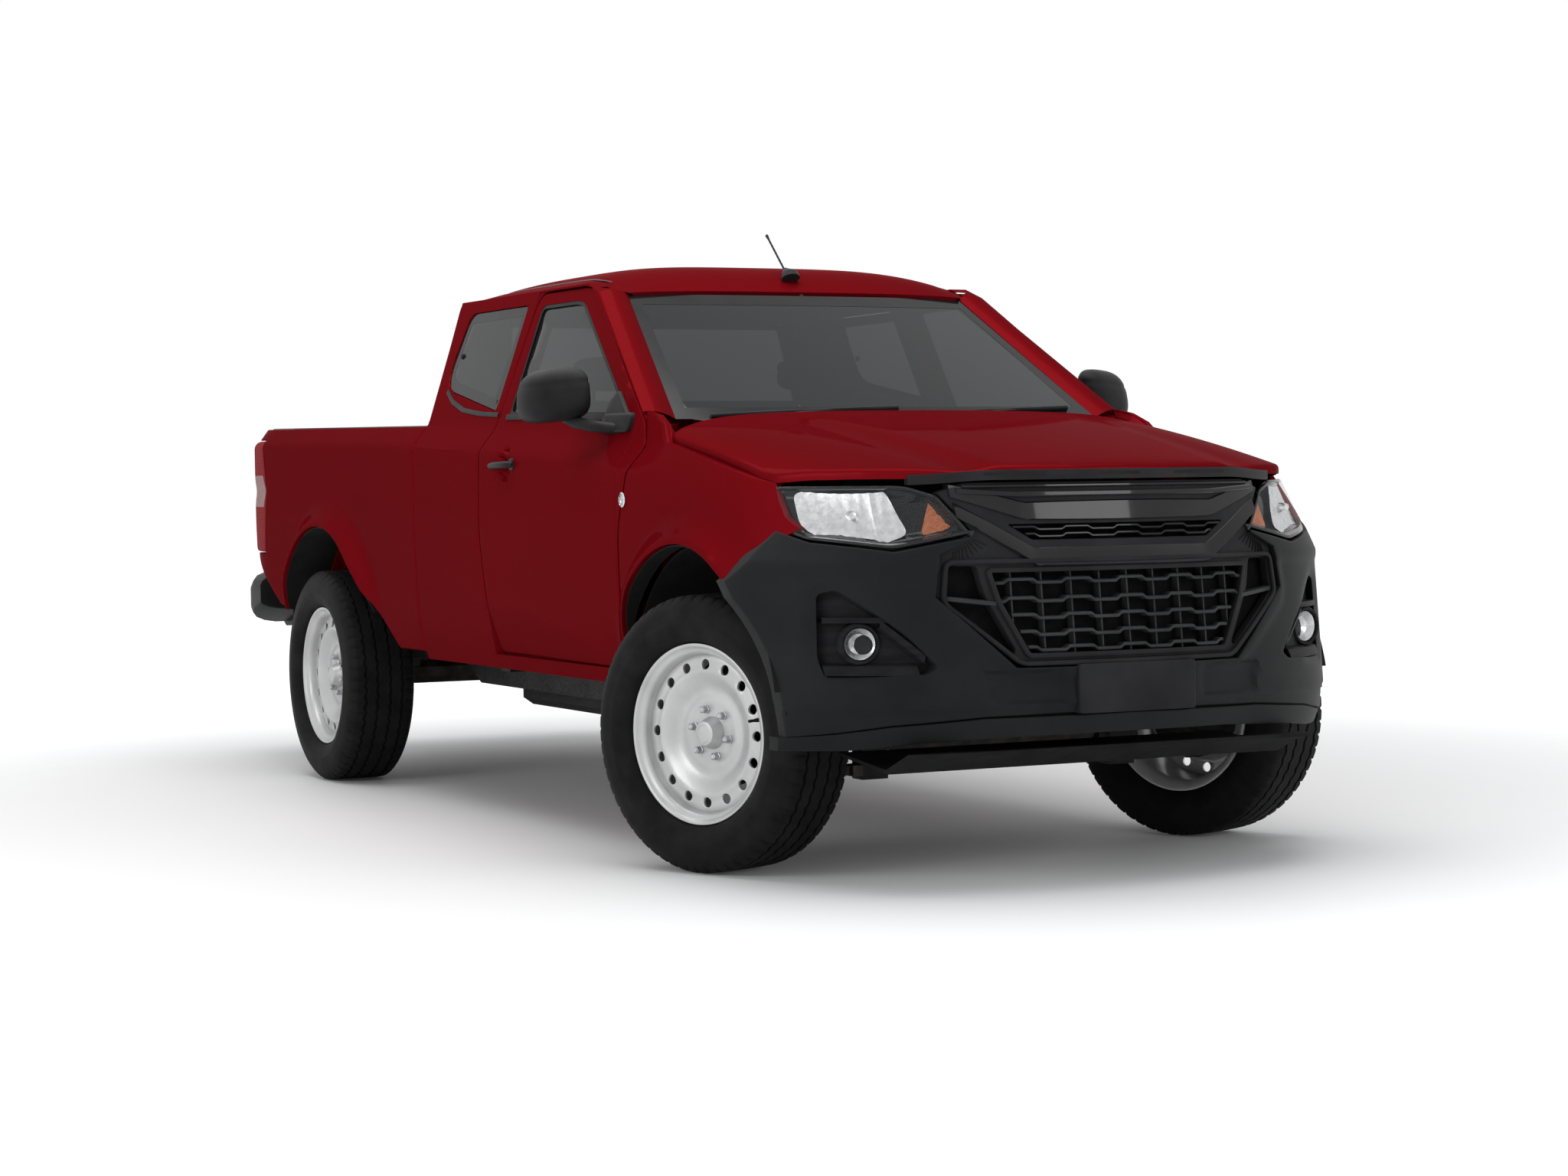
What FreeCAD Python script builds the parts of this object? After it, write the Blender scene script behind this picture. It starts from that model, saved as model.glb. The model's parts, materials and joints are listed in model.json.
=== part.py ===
import FreeCAD, Part
import math
import os
import types

import Sketcher

Vector = FreeCAD.Vector

# Driving dimensions of the truck, in millimetres and degrees.
# X runs forward, Y to the left and Z up; the origin is on the ground under the middle of the length.
SIZES = [
    # wheels and axles
    ("wheelbase", 3125.0),
    ("front_axle_x", 1750.0),
    ("half_track", 785.0),
    ("tyre_radius", 378.0),
    ("tyre_width", 255.0),
    ("tread_width", 192.0),
    ("bead_radius", 223.0),
    ("bead_width", 154.0),
    ("bulge_radius", 292.0),
    ("shoulder_radius", 347.0),
    ("shoulder_width", 246.0),
    ("rim_flange_radius", 246.0),
    ("rim_width", 200.0),
    ("rim_flange_thickness", 9.0),
    ("rim_metal", 7.0),
    ("disc_metal", 6.0),
    ("disc_ring_radius", 196.0),
    ("disc_step_radius", 162.0),
    ("disc_bowl_radius", 118.0),
    ("hub_face_radius", 84.0),
    ("disc_ring_out", 62.0),
    ("disc_bowl_out", 14.0),
    ("hub_face_out", 33.0),
    ("vent_radius", 10.5),
    ("vent_circle_radius", 188.0),
    ("vent_count", 16.0),
    ("wheel_facets", 40.0),
    ("hub_radius", 48.0),
    ("nut_circle_radius", 66.0),
    ("nut_radius", 10.0),
    ("nut_height", 22.0),
    ("nut_count", 6.0),
    ("cap_radius", 34.0),
    ("cap_height", 34.0),
    ("spindle_radius", 28.0),
    ("spindle_reach", 20.0),
    ("running_gap", 0.6),
    ("disc_brake_radius", 152.0),
    ("disc_brake_thickness", 22.0),
    ("kingpin_inset", 40.0),
    ("kingpin_radius", 9.0),
    ("kingpin_spread", 132.0),
    ("steer_angle", 20.76),
    ("drum_radius", 150.0),
    ("drum_width", 70.0),
    # outer form of the body
    ("body_half_width", 885.0),
    ("sill_tuck", 40.0),
    ("sill_height", 500.0),
    ("shoulder_rear_height", 1218.0),
    ("shoulder_front_height", 1094.0),
    ("shoulder_rear_x", -2100.0),
    ("shoulder_front_x", 1370.0),
    ("shoulder_band", 75.0),
    ("shoulder_lean", 0.75),
    ("window_lean", 0.38),
    ("rear_round_start_x", -2000.0),
    ("rear_round_depth", 45.0),
    ("nose_x", 2635.0),
    ("nose_rake", 0.108),
    ("nose_face_height", 480.0),
    ("nose_half_width", 930.0),
    ("nose_sweep", 268.0),
    ("nose_corner_sweep", 233.0),
    ("nose_taper_height", 850.0),
    ("nose_taper_length", 1667.0),
    ("corner_blend", 60.0),
    ("wall", 58.0),
    ("fender_wall", 10.0),
    ("bed_wall", 120.0),
    ("shut_gap", 6.0),
    ("seat_gap", 0.4),
    ("edge_bevel", 0.25),
    ("outline_reach", 950.0),
    ("outline_depth", 420.0),
    # arches
    ("arch_radius", 495.0),
    ("front_arch_lead", 35.0),
    ("front_arch_height", 398.0),
    ("rear_arch_lead", 65.0),
    ("rear_arch_height", 422.0),
    ("flare_width", 62.0),
    ("flare_half_width", 930.0),
    ("flare_lip", 14.0),
    ("liner_thickness", 6.0),
    ("liner_inner_y", 445.0),
    # cab and bed
    ("cab_rear_x", -375.0),
    ("cab_gap", 22.0),
    ("cab_top_height", 1672.0),
    ("cab_lean_height", 1280.0),
    ("cab_rear_lean", 80.0),
    ("cab_base_height", 482.0),
    ("door_front_x", 1300.0),
    ("door_base_height", 532.0),
    ("floor_height", 500.0),
    ("floor_thickness", 30.0),
    ("firewall_x", 1215.0),
    ("roof_height", 1748.0),
    ("roof_thickness", 28.0),
    ("roof_half_width", 655.0),
    ("glass_thickness", 5.0),
    ("glass_inset", 16.0),
    ("bed_rear_x", -2290.0),
    ("bed_floor_height", 770.0),
    ("bed_floor_thickness", 34.0),
    ("bed_rib_height", 12.0),
    ("bed_rail_rear_height", 1284.0),
    ("bed_rail_front_height", 1256.0),
    ("tailgate_thickness", 50.0),
    ("hood_rear_x", 1410.0),
    ("hood_rear_height", 1262.0),
    ("hood_thickness", 24.0),
    # frame and running gear
    ("rail_width", 62.0),
    ("rail_height", 120.0),
    ("rail_front_y", 372.0),
    ("rail_rear_y", 505.0),
    ("rail_base_height", 372.0),
    ("rail_kick_height", 530.0),
    ("cross_radius", 22.0),
    ("axle_tube_radius", 42.0),
    ("exhaust_radius", 27.0),
    ("spare_drop", 40.0),
    # hinges
    ("door_hinge_x", 1268.0),
    ("door_hinge_y", 856.0),
    ("door_flange", 8.0),
    ("door_box_front_x", 1240.0),
    ("swing_clearance", 5.4),
    ("hinge_pin_radius", 3.0),
    ("hinge_eye_radius", 6.0),
    ("hinge_height", 34.0),
    ("hood_hinge_x", 1300.0),
    ("hood_hinge_height", 1190.0),
    ("tailgate_hinge_x", -2260.0),
    ("tailgate_hinge_height", 778.0),
    # cabin
    ("wheel_centre_x", 840.0),
    ("driver_y", 370.0),
    ("wheel_centre_height", 1068.0),
    ("column_angle", 24.0),
    ("wheel_ring_radius", 178.0),
    ("wheel_ring_thickness", 14.0),
]

doc = FreeCAD.newDocument("pickup_truck")
sheet = doc.addObject("Spreadsheet::Sheet", "Sizes")
for row, (alias, value) in enumerate(SIZES, start=1):
    sheet.set(f"A{row}", alias)
    sheet.set(f"B{row}", repr(value))
    sheet.setAlias(f"B{row}", alias)
doc.recompute()


class Size:
    """A length with its value and the expression that ties it to the sheet."""

    def __init__(self, text, value):
        self.text = text
        self.value = value

    def __add__(self, other):
        other = as_size(other)
        return Size(f"({self.text} + {other.text})", self.value + other.value)

    def __sub__(self, other):
        other = as_size(other)
        return Size(f"({self.text} - {other.text})", self.value - other.value)

    def __mul__(self, other):
        other = as_size(other)
        return Size(f"({self.text} * {other.text})", self.value * other.value)

    def __truediv__(self, other):
        other = as_size(other)
        return Size(f"({self.text} / {other.text})", self.value / other.value)

    def __neg__(self):
        return Size(f"(0 - {self.text})", -self.value)

    def __float__(self):
        return self.value


def as_size(number):
    """A plain number as a Size; a Size stays as it is."""
    if isinstance(number, Size):
        return number
    return Size(repr(float(number)), float(number))


s = types.SimpleNamespace(**{alias: Size(f"Sizes.{alias}", float(sheet.get(alias))) for alias, _ in SIZES})
v = types.SimpleNamespace(**{alias: float(sheet.get(alias)) for alias, _ in SIZES})

AXIS_TURNS = {
    "X": FreeCAD.Rotation(Vector(0, 1, 0), 90),
    "Y": FreeCAD.Rotation(Vector(1, 0, 0), -90),
    "Z": FreeCAD.Rotation(),
}
SIDES = {"left": 1, "right": -1}
parts = {}


def point(x, y, z):
    return Vector(float(x), float(y), float(z))


def smooth(points):
    """One polynomial edge through the points."""
    curve = Part.BezierCurve()
    curve.interpolate([[place] for place in points])
    return curve.toShape()


def faceted_ring(profile, count):
    """A closed profile of (radius, y) carried round the Y axis as flats that touch its radii."""
    grow = 1 / math.cos(math.pi / count)
    turns = [2 * math.pi * (index + 0.5) / count for index in range(count)]
    rings = [[point(r * grow * math.sin(a), y, r * grow * math.cos(a)) for a in turns] for r, y in profile]
    faces = []
    for ring, following in zip(rings, rings[1:] + rings[:1]):
        for index in range(count):
            after = (index + 1) % count
            corners = [ring[index], ring[after], following[after], following[index]]
            faces.append(Part.Face(Part.makePolygon(corners + corners[:1])))
    solid = Part.Solid(Part.Shell(faces))
    return solid if solid.Volume > 0 else solid.reversed()


def prism(corners, offset):
    """A flat outline carried straight along one offset."""
    return Part.Face(Part.makePolygon(corners + corners[:1])).extrude(offset)


def prism_y(outline, y_from, y_to):
    """A side view outline of (x, z) carried across the truck."""
    return prism([point(x, y_from, z) for x, z in outline], point(0, y_to - y_from, 0))


def prism_x(outline, x_from, x_to):
    """A front view outline of (y, z) carried along the truck."""
    return prism([point(x_from, y, z) for y, z in outline], point(x_to - x_from, 0, 0))


def block(x_span, y_span, z_span):
    """A box between two corners."""
    (x0, x1), (y0, y1), (z0, z1) = x_span, y_span, z_span
    return Part.makeBox(x1 - x0, y1 - y0, z1 - z0, point(x0, y0, z0))


def rod(start, end, radius):
    """A round bar between two points."""
    return Part.makeCylinder(radius, (end - start).Length, start, end - start)


def bar(start, end, radius, flats=8):
    """A bar with flats that touch its radius, between two points."""
    run = end - start
    aside = run.cross(Vector(0, 0, 1))
    if aside.Length < radius * 1e-6:
        aside = Vector(1, 0, 0)
    aside.normalize()
    across = run.cross(aside)
    across.normalize()
    reach = radius / math.cos(math.pi / flats)
    turns = [2 * math.pi * (index + 0.5) / flats for index in range(flats)]
    return prism([start + aside * (reach * math.cos(a)) + across * (reach * math.sin(a)) for a in turns], run)


def beam(start, end, width, height):
    """A rectangular bar between two points, its height kept upright."""
    run = end - start
    level = Vector(0, 0, 1).cross(run)
    level.normalize()
    rise = run.cross(level)
    rise.normalize()
    corners = [
        start + level * (a * width / 2) + rise * (b * height / 2)
        for a, b in ((-1, -1), (1, -1), (1, 1), (-1, 1))
    ]
    return prism(corners, run)


def other_side(shape):
    """The same shape on the other side of the centre line."""
    return shape.mirror(Vector(0, 0, 0), Vector(0, 1, 0))


def fuse(shapes):
    return shapes[0].fuse(shapes[1:]) if len(shapes) > 1 else shapes[0]


def keep(label, shape):
    """A sub-part whose shape is set with Part's own functions."""
    feature = doc.addObject("Part::Feature", label)
    feature.Label = label
    feature.Shape = shape
    parts[label] = feature
    return feature


# The outer form: formulas for the side, the nose, the hood and the roof.
def shoulder_z(x):
    """Height of the shoulder crease, falling forward as a parabola."""
    share = (x - v.shoulder_rear_x) / (v.shoulder_front_x - v.shoulder_rear_x)
    return v.shoulder_rear_height - (v.shoulder_rear_height - v.shoulder_front_height) * share ** 2


def nose_front(z):
    """Foremost x of the nose on the centre line at a height."""
    return v.nose_x - v.nose_rake * abs(z - v.nose_face_height)


def nose_width_share(z):
    """How much narrower the nose is above the bumper."""
    return 1 - max(0, z - v.nose_taper_height) / v.nose_taper_length


def nose_surface_x(y, z):
    """x of the nose skin: a parabola across, bent back at the corners."""
    share = abs(y) / (v.nose_half_width * nose_width_share(z))
    return nose_front(z) - v.nose_sweep * share ** 2 - v.nose_corner_sweep * share ** 6


def nose_half(x, z):
    """Half width of the nose at a station, found by halving."""
    low, high = 0, 2 * v.nose_half_width
    for _ in range(40):
        middle = (low + high) / 2
        if nose_surface_x(middle, z) > x:
            low = middle
        else:
            high = middle
    return low


def side_y(x, z):
    """Half width of the body skin at a station and height."""
    crease = shoulder_z(x)
    if z <= crease:
        share = (crease - z) / (crease - v.sill_height)
        y = v.body_half_width - v.sill_tuck * share ** 4
    else:
        rise = z - crease
        y = v.body_half_width - v.shoulder_lean * min(rise, v.shoulder_band)
        y -= v.window_lean * max(0, rise - v.shoulder_band)
    behind = max(0, v.rear_round_start_x - x) / (v.rear_round_start_x - v.bed_rear_x)
    y -= v.rear_round_depth * behind ** 2
    if x > v.front_axle_x - v.arch_radius:
        nose = nose_half(x, z)
        mix = max(0, v.corner_blend - abs(y - nose)) / v.corner_blend
        y = min(y, nose) - mix ** 2 * v.corner_blend / 4
    return y


def side_section(x, inset, thickness):
    """One closed section of a side wall, split at the crease and the shoulder's top."""
    crease = shoulder_z(x)
    low = v.cab_base_height - v.wall
    levels = [low + (crease - low) * share for share in (0, 0.25, 0.5, 0.75, 1)]
    top = v.roof_height
    band = crease + v.shoulder_band
    lower = [point(x, side_y(x, z) - inset, z) for z in levels]
    corners = [point(x, side_y(x, z) - inset, z) for z in (crease, band, top)]
    back = Vector(0, -thickness, 0)
    outer = [smooth(lower), Part.makeLine(*corners[:2]), Part.makeLine(*corners[1:])]
    inner = [
        smooth([p + back for p in lower]),
        Part.makeLine(*[p + back for p in corners[:2]]),
        Part.makeLine(*[p + back for p in corners[1:]]),
    ]
    ends = [
        Part.makeLine(lower[0], lower[0] + back),
        Part.makeLine(corners[2], corners[2] + back),
    ]
    return Part.Wire([outer[0], outer[1], outer[2], ends[1], inner[2], inner[1], inner[0], ends[0]])


def side_slab(stations, inset, thickness):
    """A wall that follows the left side skin over a run of stations."""
    return Part.makeLoft([side_section(x, inset, thickness) for x in stations], True, False)


def shares_between(low, high, count):
    return [low + (high - low) * index / (count - 1) for index in range(count)]


MAIN_STATIONS = [v.bed_rear_x, -2130, v.rear_round_start_x, -1100, 0, 900, v.front_axle_x - v.half_track / 2]
FENDER_STATIONS = shares_between(v.door_front_x, v.nose_x - v.half_track / 3, 7)
main_slab = side_slab(MAIN_STATIONS, 0, v.wall)
bed_slab = side_slab(MAIN_STATIONS, 0, v.bed_wall)
glass_slab = side_slab(MAIN_STATIONS, v.glass_inset, v.glass_thickness)
fender_slab = side_slab(FENDER_STATIONS, 0, v.fender_wall)


NOSE_SHARES = (-1, -0.67, -0.33, 0, 0.33, 0.67, 1)
NOSE_LEVELS = (v.nose_face_height, v.nose_taper_height)


def nose_section(z, inset, thickness):
    """One level closed section of the nose wall: a sixth degree bow in front and behind."""
    half = v.nose_half_width
    bows = []
    for reach in (inset, inset + thickness):
        bows.append([
            point(nose_surface_x(half * share, z) - reach, (half - reach) * share, z) for share in NOSE_SHARES
        ])
    outer, inner = bows
    return Part.Wire([
        smooth(outer),
        Part.makeLine(outer[-1], inner[-1]),
        smooth(inner),
        Part.makeLine(inner[0], outer[0]),
    ])


def nose_slab(z_low, z_high, inset, thickness):
    """A wall that follows the nose skin between two heights."""
    levels = [z_low] + [z for z in NOSE_LEVELS if z_low < z < z_high] + [z_high]
    return Part.makeLoft([nose_section(z, inset, thickness) for z in levels], True, True)


def tapered_outline(outline, growth, bevel_share):
    """A side outline carried inwards, its rear edges moving forward as it goes in."""
    middle_x = sum(x for x, _ in outline) / len(outline)
    middle_z = sum(z for _, z in outline) / len(outline)
    outer = []
    inner = []
    for x, z in outline:
        gx = x + math.copysign(growth, x - middle_x)
        gz = z + math.copysign(growth, z - middle_z)
        bevel = bevel_share if x < middle_x else 0
        skin = side_y(x, z)
        outer.append(point(gx - bevel * (v.outline_reach - skin), v.outline_reach, gz))
        inner.append(point(gx + bevel * (v.outline_depth - v.outline_reach + skin),
                           v.outline_reach - v.outline_depth, gz))
    wires = [Part.makePolygon(ring + ring[:1]) for ring in (outer, inner)]
    return Part.makeLoft(wires, True, True)


# Side outlines of (x, z): the door, its window and the quarter window.
DOOR_OUTLINE = [
    (v.door_front_x, v.door_base_height),
    (v.door_front_x, 930),
    (1372, 1105),
    (1390, 1160),
    (1330, 1232),
    (652, 1652),
    (600, 1660),
    (232, 1660),
    (232, 1272),
    (208, 930),
    (250, 690),
    (258, v.door_base_height),
]
WINDOW_OUTLINE = [
    (1205, 1252),
    (612, 1612),
    (560, 1622),
    (276, 1622),
    (300, 1275),
]
QUARTER_OUTLINE = [
    (185, 1290),
    (165, 1630),
    (-330, 1628),
    (-345, 1430),
    (-300, 1372),
]


def side_prism(outline):
    """An outline cut square through the left wall."""
    return prism_y(outline, v.outline_reach - v.outline_depth, v.outline_reach)


def shrunk(outline, amount):
    """An outline whose corners are drawn towards its middle."""
    middle_x = sum(x for x, _ in outline) / len(outline)
    middle_z = sum(z for _, z in outline) / len(outline)
    reach = [math.hypot(x - middle_x, z - middle_z) for x, z in outline]
    return [
        (middle_x + (x - middle_x) * (1 - amount / r), middle_z + (z - middle_z) * (1 - amount / r))
        for (x, z), r in zip(outline, reach)
    ]


def arch_cylinder(x, z, radius, y_from, y_to):
    return Part.makeCylinder(radius, y_to - y_from, point(x, y_from, z), Vector(0, 1, 0))


FRONT_ARCH = (v.front_axle_x + v.front_arch_lead, v.front_arch_height)
REAR_AXLE_X = v.front_axle_x - v.wheelbase
REAR_ARCH = (REAR_AXLE_X + v.rear_arch_lead, v.rear_arch_height)
arch_span = (v.liner_inner_y, v.outline_reach)
front_arch_cut = arch_cylinder(*FRONT_ARCH, v.arch_radius, *arch_span)
rear_arch_cut = arch_cylinder(*REAR_ARCH, v.arch_radius, *arch_span).fuse(
    prism_y(
        [
            (REAR_ARCH[0], v.rear_arch_height),
            (REAR_ARCH[0] + v.arch_radius * math.sin(math.radians(56)),
             v.rear_arch_height + v.arch_radius * math.cos(math.radians(56))),
            (REAR_ARCH[0] + v.arch_radius + 190, v.cab_base_height),
            (REAR_ARCH[0] + v.arch_radius + 190, 300),
            (REAR_ARCH[0], 300),
        ],
        *arch_span,
    )
)


def flare(centre, start_angle, end_angle, body_y):
    """A raised lip round a wheel arch, turned about the arch's own axis."""
    x, z = centre
    radius = v.arch_radius
    rings = [
        (radius, body_y - v.fender_wall),
        (radius, v.flare_half_width),
        (radius + v.flare_lip, v.flare_half_width),
        (radius + v.flare_width, body_y),
        (radius + v.flare_width, body_y - v.fender_wall),
    ]
    wires = []
    for angle in shares_between(math.radians(start_angle), math.radians(end_angle), 13):
        ring = [point(x + r * math.cos(angle), y, z + r * math.sin(angle)) for r, y in rings]
        wires.append(Part.makePolygon(ring + ring[:1]))
    return Part.makeLoft(wires, True, True)


# Left and right front fender: thin pressings from the door to the lamp, with the arch lip.
FENDER_OUTLINE = [
    (v.door_front_x + v.shut_gap, 522),
    (v.door_front_x + v.shut_gap, 930),
    (1372 + v.shut_gap, 1102),
    (1390 + v.shut_gap, 1160),
    (1345, 1238),
    (1312, 1262),
    (1462, 1256),
    (1560, 1160),
    (1951, 1097),
    (2132, 1046),
    (2200, 966),
    (2252, 936),
    (2098, 806),
    (1950, 700),
    (1500, 522),
]
def door_swing():
    """The round space that the door's front edge turns through, widest where the edge stands furthest off."""
    edge = [(v.door_base_height - 20, v.door_front_x)]
    edge += [(z, v.door_front_x) for z in (600, 700, 800, 930)]
    edge += [(1000, 1328.8), (1052, 1350.2), (1105, 1372), (1160, 1390), (1196, 1360), (1232, 1330)]
    rim = [point(v.door_hinge_x + v.swing_clearance
                 + math.hypot(x - v.door_hinge_x, side_y(x, z) - v.door_hinge_y), v.door_hinge_y, z)
           for z, x in edge]
    axis = [point(v.door_hinge_x, v.door_hinge_y, z) for z in (edge[-1][0], edge[0][0])]
    ring = rim + axis
    return Part.Face(Part.makePolygon(ring + ring[:1])).revolve(axis[0], Vector(0, 0, 1), 360)


fender = fender_slab.common(side_prism(FENDER_OUTLINE)).cut([front_arch_cut, door_swing()])
fender = fuse([fender, flare(FRONT_ARCH, 62, 146, v.body_half_width - 4)])
keep("front_fenders", Part.makeCompound([fender, other_side(fender)]))


# Roof panel: one pressing, crowned across and falling to the windscreen and the rear wall.
ROOF_X = [724, 655, 560, 400, 100, -180, -360, -452]
ROOF_DROP = [101, 57, 26, 7, 0, 8, 31, 66]


def roof_section(x, drop):
    """A closed section across the roof: flat in the middle and steep at its rails."""
    front = max(0, (x - 450) / 270)
    half = v.roof_half_width - 72 * front ** 2
    edge = v.cab_top_height + v.seat_gap - 34 * front ** 2
    crest = max(v.roof_height - drop, edge + 6)
    shares = (-1, -0.75, -0.5, 0, 0.5, 0.75, 1)
    top = [point(x, half * share, edge + (crest - edge) * (1 - share ** 4)) for share in shares]
    inner_half = half - v.wall
    under = max(crest - v.roof_thickness, edge + 1)
    low = [point(x, y, z) for y, z in ((inner_half, edge), (inner_half - 60, under), (60 - inner_half, under),
                                       (-inner_half, edge))]
    return Part.Wire([
        smooth(top),
        Part.makeLine(top[-1], low[0]),
        Part.makeLine(low[0], low[1]),
        Part.makeLine(low[1], low[2]),
        Part.makeLine(low[2], low[3]),
        Part.makeLine(low[3], top[0]),
    ])


roof = Part.makeLoft([roof_section(x, drop) for x, drop in zip(ROOF_X, ROOF_DROP)], True, True)
keep("roof_panel", roof)


# Cab shell: side walls with the door opening, pillars, floor, firewall, cowl and rear wall.
CAB_OUTLINE = [
    (v.cab_rear_x, v.cab_base_height),
    (v.cab_rear_x, v.cab_lean_height),
    (v.cab_rear_x - v.cab_rear_lean, v.cab_top_height),
    (612, v.cab_top_height),
    (700, 1640),
    (1300, 1262),
    (1290, 1240),
    (1290, v.cab_base_height),
]
cab_side = main_slab.common(side_prism(CAB_OUTLINE))
cab_side = cab_side.cut(tapered_outline(DOOR_OUTLINE, v.shut_gap, v.edge_bevel))
cab_side = cab_side.cut(side_prism(QUARTER_OUTLINE))
def glass_band(z, corner_x, centre_x, half, depth):
    """A level bow of glass with its thickness."""
    shares = (-1, -0.6, 0, 0.6, 1)
    bow = centre_x - corner_x
    outer = [point(centre_x - bow * share ** 2, half * share, z) for share in shares]
    inner = [p - Vector(depth, 0, 0) for p in outer]
    return Part.Wire([
        smooth(outer),
        Part.makeLine(outer[-1], inner[-1]),
        smooth(inner),
        Part.makeLine(inner[0], outer[0]),
    ])


pillar_foot = [(1322, 806, 1246), (1292, 700, 1258), (1240, 700, 1228), (1262, 752, 1205)]
pillar_head = [(690, 668, 1650), (700, 578, 1636), (640, 580, 1610), (636, 634, 1628)]
pillar_wires = [
    Part.makePolygon([point(*corner) for corner in ring + ring[:1]]) for ring in (pillar_foot, pillar_head)
]
door_gap = tapered_outline(DOOR_OUTLINE, v.shut_gap, v.edge_bevel)
a_pillar = Part.makeLoft(pillar_wires, True, True).cut(door_gap)
hinge_post = block((1230, 1290), (680, 742), (v.floor_height, 1228))
cowl_lip = Part.makeLoft(
    [glass_band(1180, 1326, 1372, 650, 30), glass_band(1239.7, 1326, 1372, 650, 30)], True, True
)
side_set = [cab_side, a_pillar, hinge_post]
HINGE_HEIGHTS = (700, 900)
for height in HINGE_HEIGHTS:
    for direction in (-1, 1):
        arm_z = height + direction * v.hinge_height / 2
        arm_span = sorted((arm_z, arm_z + direction * v.hinge_eye_radius))
        side_set.append(block((1258, 1278), (732, 800), (height - 22, height + 22)))
        side_set.append(block((1260, 1276), (738, v.door_hinge_y + 3.5), arm_span))
    pin_foot = point(v.door_hinge_x, v.door_hinge_y, height - v.hinge_height / 2 - v.hinge_eye_radius)
    side_set.append(rod(pin_foot, pin_foot + Vector(0, 0, v.hinge_height + 2 * v.hinge_eye_radius),
                        v.hinge_pin_radius))
floor = block((v.cab_rear_x, v.firewall_x), (-830, 830), (v.floor_height, v.floor_height + v.floor_thickness))
firewall = block((v.firewall_x, v.firewall_x + 20), (-700, 700), (v.floor_height, 1200))
cowl = block((v.firewall_x, 1380), (-640, 640), (1170, 1196))
hood_pin = rod(point(v.hood_hinge_x, -684, v.hood_hinge_height), point(v.hood_hinge_x, 684, v.hood_hinge_height), 6)
wall_low = prism_x([(-830, 500), (830, 500), (830, 1190), (764, v.cab_lean_height),
                    (-764, v.cab_lean_height), (-830, 1190)], v.cab_rear_x, v.cab_rear_x + 30)
wall_rings = []
for z, half, lean in ((v.cab_lean_height, 764, 0), (v.cab_top_height, 612, v.cab_rear_lean)):
    ring = [point(v.cab_rear_x - lean, -half, z), point(v.cab_rear_x - lean, half, z),
            point(v.cab_rear_x - lean + 30, half, z), point(v.cab_rear_x - lean + 30, -half, z)]
    wall_rings.append(Part.makePolygon(ring + ring[:1]))
wall_high = Part.makeLoft(wall_rings, True, True)
REAR_WINDOW_OUTLINE = [(-560, 1320), (560, 1320), (520, 1610), (-520, 1610)]
rear_window_hole = prism_x(REAR_WINDOW_OUTLINE, v.cab_rear_x - 200, v.cab_rear_x + 200)
shell_left = fuse(side_set)
cab_shell = fuse([shell_left, other_side(shell_left), floor, firewall, cowl, cowl_lip, hood_pin,
                  wall_low, wall_high])
cab_shell = cab_shell.cut([rear_window_hole, roof])
cab_shell = sorted(cab_shell.Solids, key=lambda solid: solid.Volume)[-1]
keep("cab_shell", cab_shell)


# Windscreen, quarter windows and rear window.
windscreen = Part.makeLoft(
    [glass_band(1240, 1320, 1372, 705.4, 6), glass_band(1634, 706, 742, 578.2, 6)], True, True
)
windscreen = windscreen.cut([cab_shell, roof])
quarter = glass_slab.common(side_prism(shrunk(QUARTER_OUTLINE, v.seat_gap)))
rear_glass = wall_high.common(prism_x(
    [(-560 + 0.4, 1320.4), (559.6, 1320.4), (519.6, 1609.6), (-519.6, 1609.6)],
    v.cab_rear_x - 200, v.cab_rear_x + 200))
rear_glass = rear_glass.common(wall_high.translated(Vector(22, 0, 0)))
keep("cab_glass", Part.makeCompound([windscreen, quarter, other_side(quarter), rear_glass]))


# Doors: one thick shell each with its window opening and hinge eyes, and the glass in it.
door = main_slab.common(tapered_outline(DOOR_OUTLINE, 0, v.edge_bevel))
door_nose = side_slab(MAIN_STATIONS, v.door_flange, 160).common(
    block((v.door_box_front_x, 1420), (600, 1000), (v.door_base_height - 20, 1232)))
door = door.cut([side_prism(WINDOW_OUTLINE), roof, door_nose])
door_glass = glass_slab.common(side_prism(shrunk(WINDOW_OUTLINE, v.seat_gap)))
eyes = []
for height in HINGE_HEIGHTS:
    eye_half = v.hinge_height / 2 - 2
    foot = point(v.door_hinge_x, v.door_hinge_y, height - eye_half)
    eye = rod(foot, foot + Vector(0, 0, 2 * eye_half), v.hinge_eye_radius)
    strap = block((v.door_box_front_x - 10, v.door_hinge_x), (v.door_hinge_y - 5, v.door_hinge_y + 5),
                  (height - eye_half, height + eye_half))
    bore = rod(foot - Vector(0, 0, 5), foot + Vector(0, 0, 2 * eye_half + 5),
               v.hinge_pin_radius + v.running_gap)
    door = door.fuse(eye).fuse(strap).cut(bore)
handle = prism_y([(338, 1108), (338, 1128), (500, 1136), (500, 1114)], 896, 912)
handle = fuse([handle, block((345, 365), (870, 900), (1110, 1126)), block((475, 495), (870, 900), (1115, 1132))])
mirror_arm = beam(point(1195, 790, 1218), point(1060, 900, 1238), 60, 40)
mirror_head = prism_y([(930, 1232), (1075, 1240), (1062, 1330), (1010, 1392), (932, 1400), (905, 1330)],
                      845, 1040)
mirror = fuse([mirror_arm, mirror_head]).cut(door)
for side, sign in SIDES.items():
    turn = (lambda shape: shape) if sign > 0 else other_side
    keep(f"door_{side}", turn(door.fuse(handle)))
    keep(f"door_glass_{side}", turn(door_glass))
    keep(f"mirror_{side}", turn(mirror))


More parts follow.
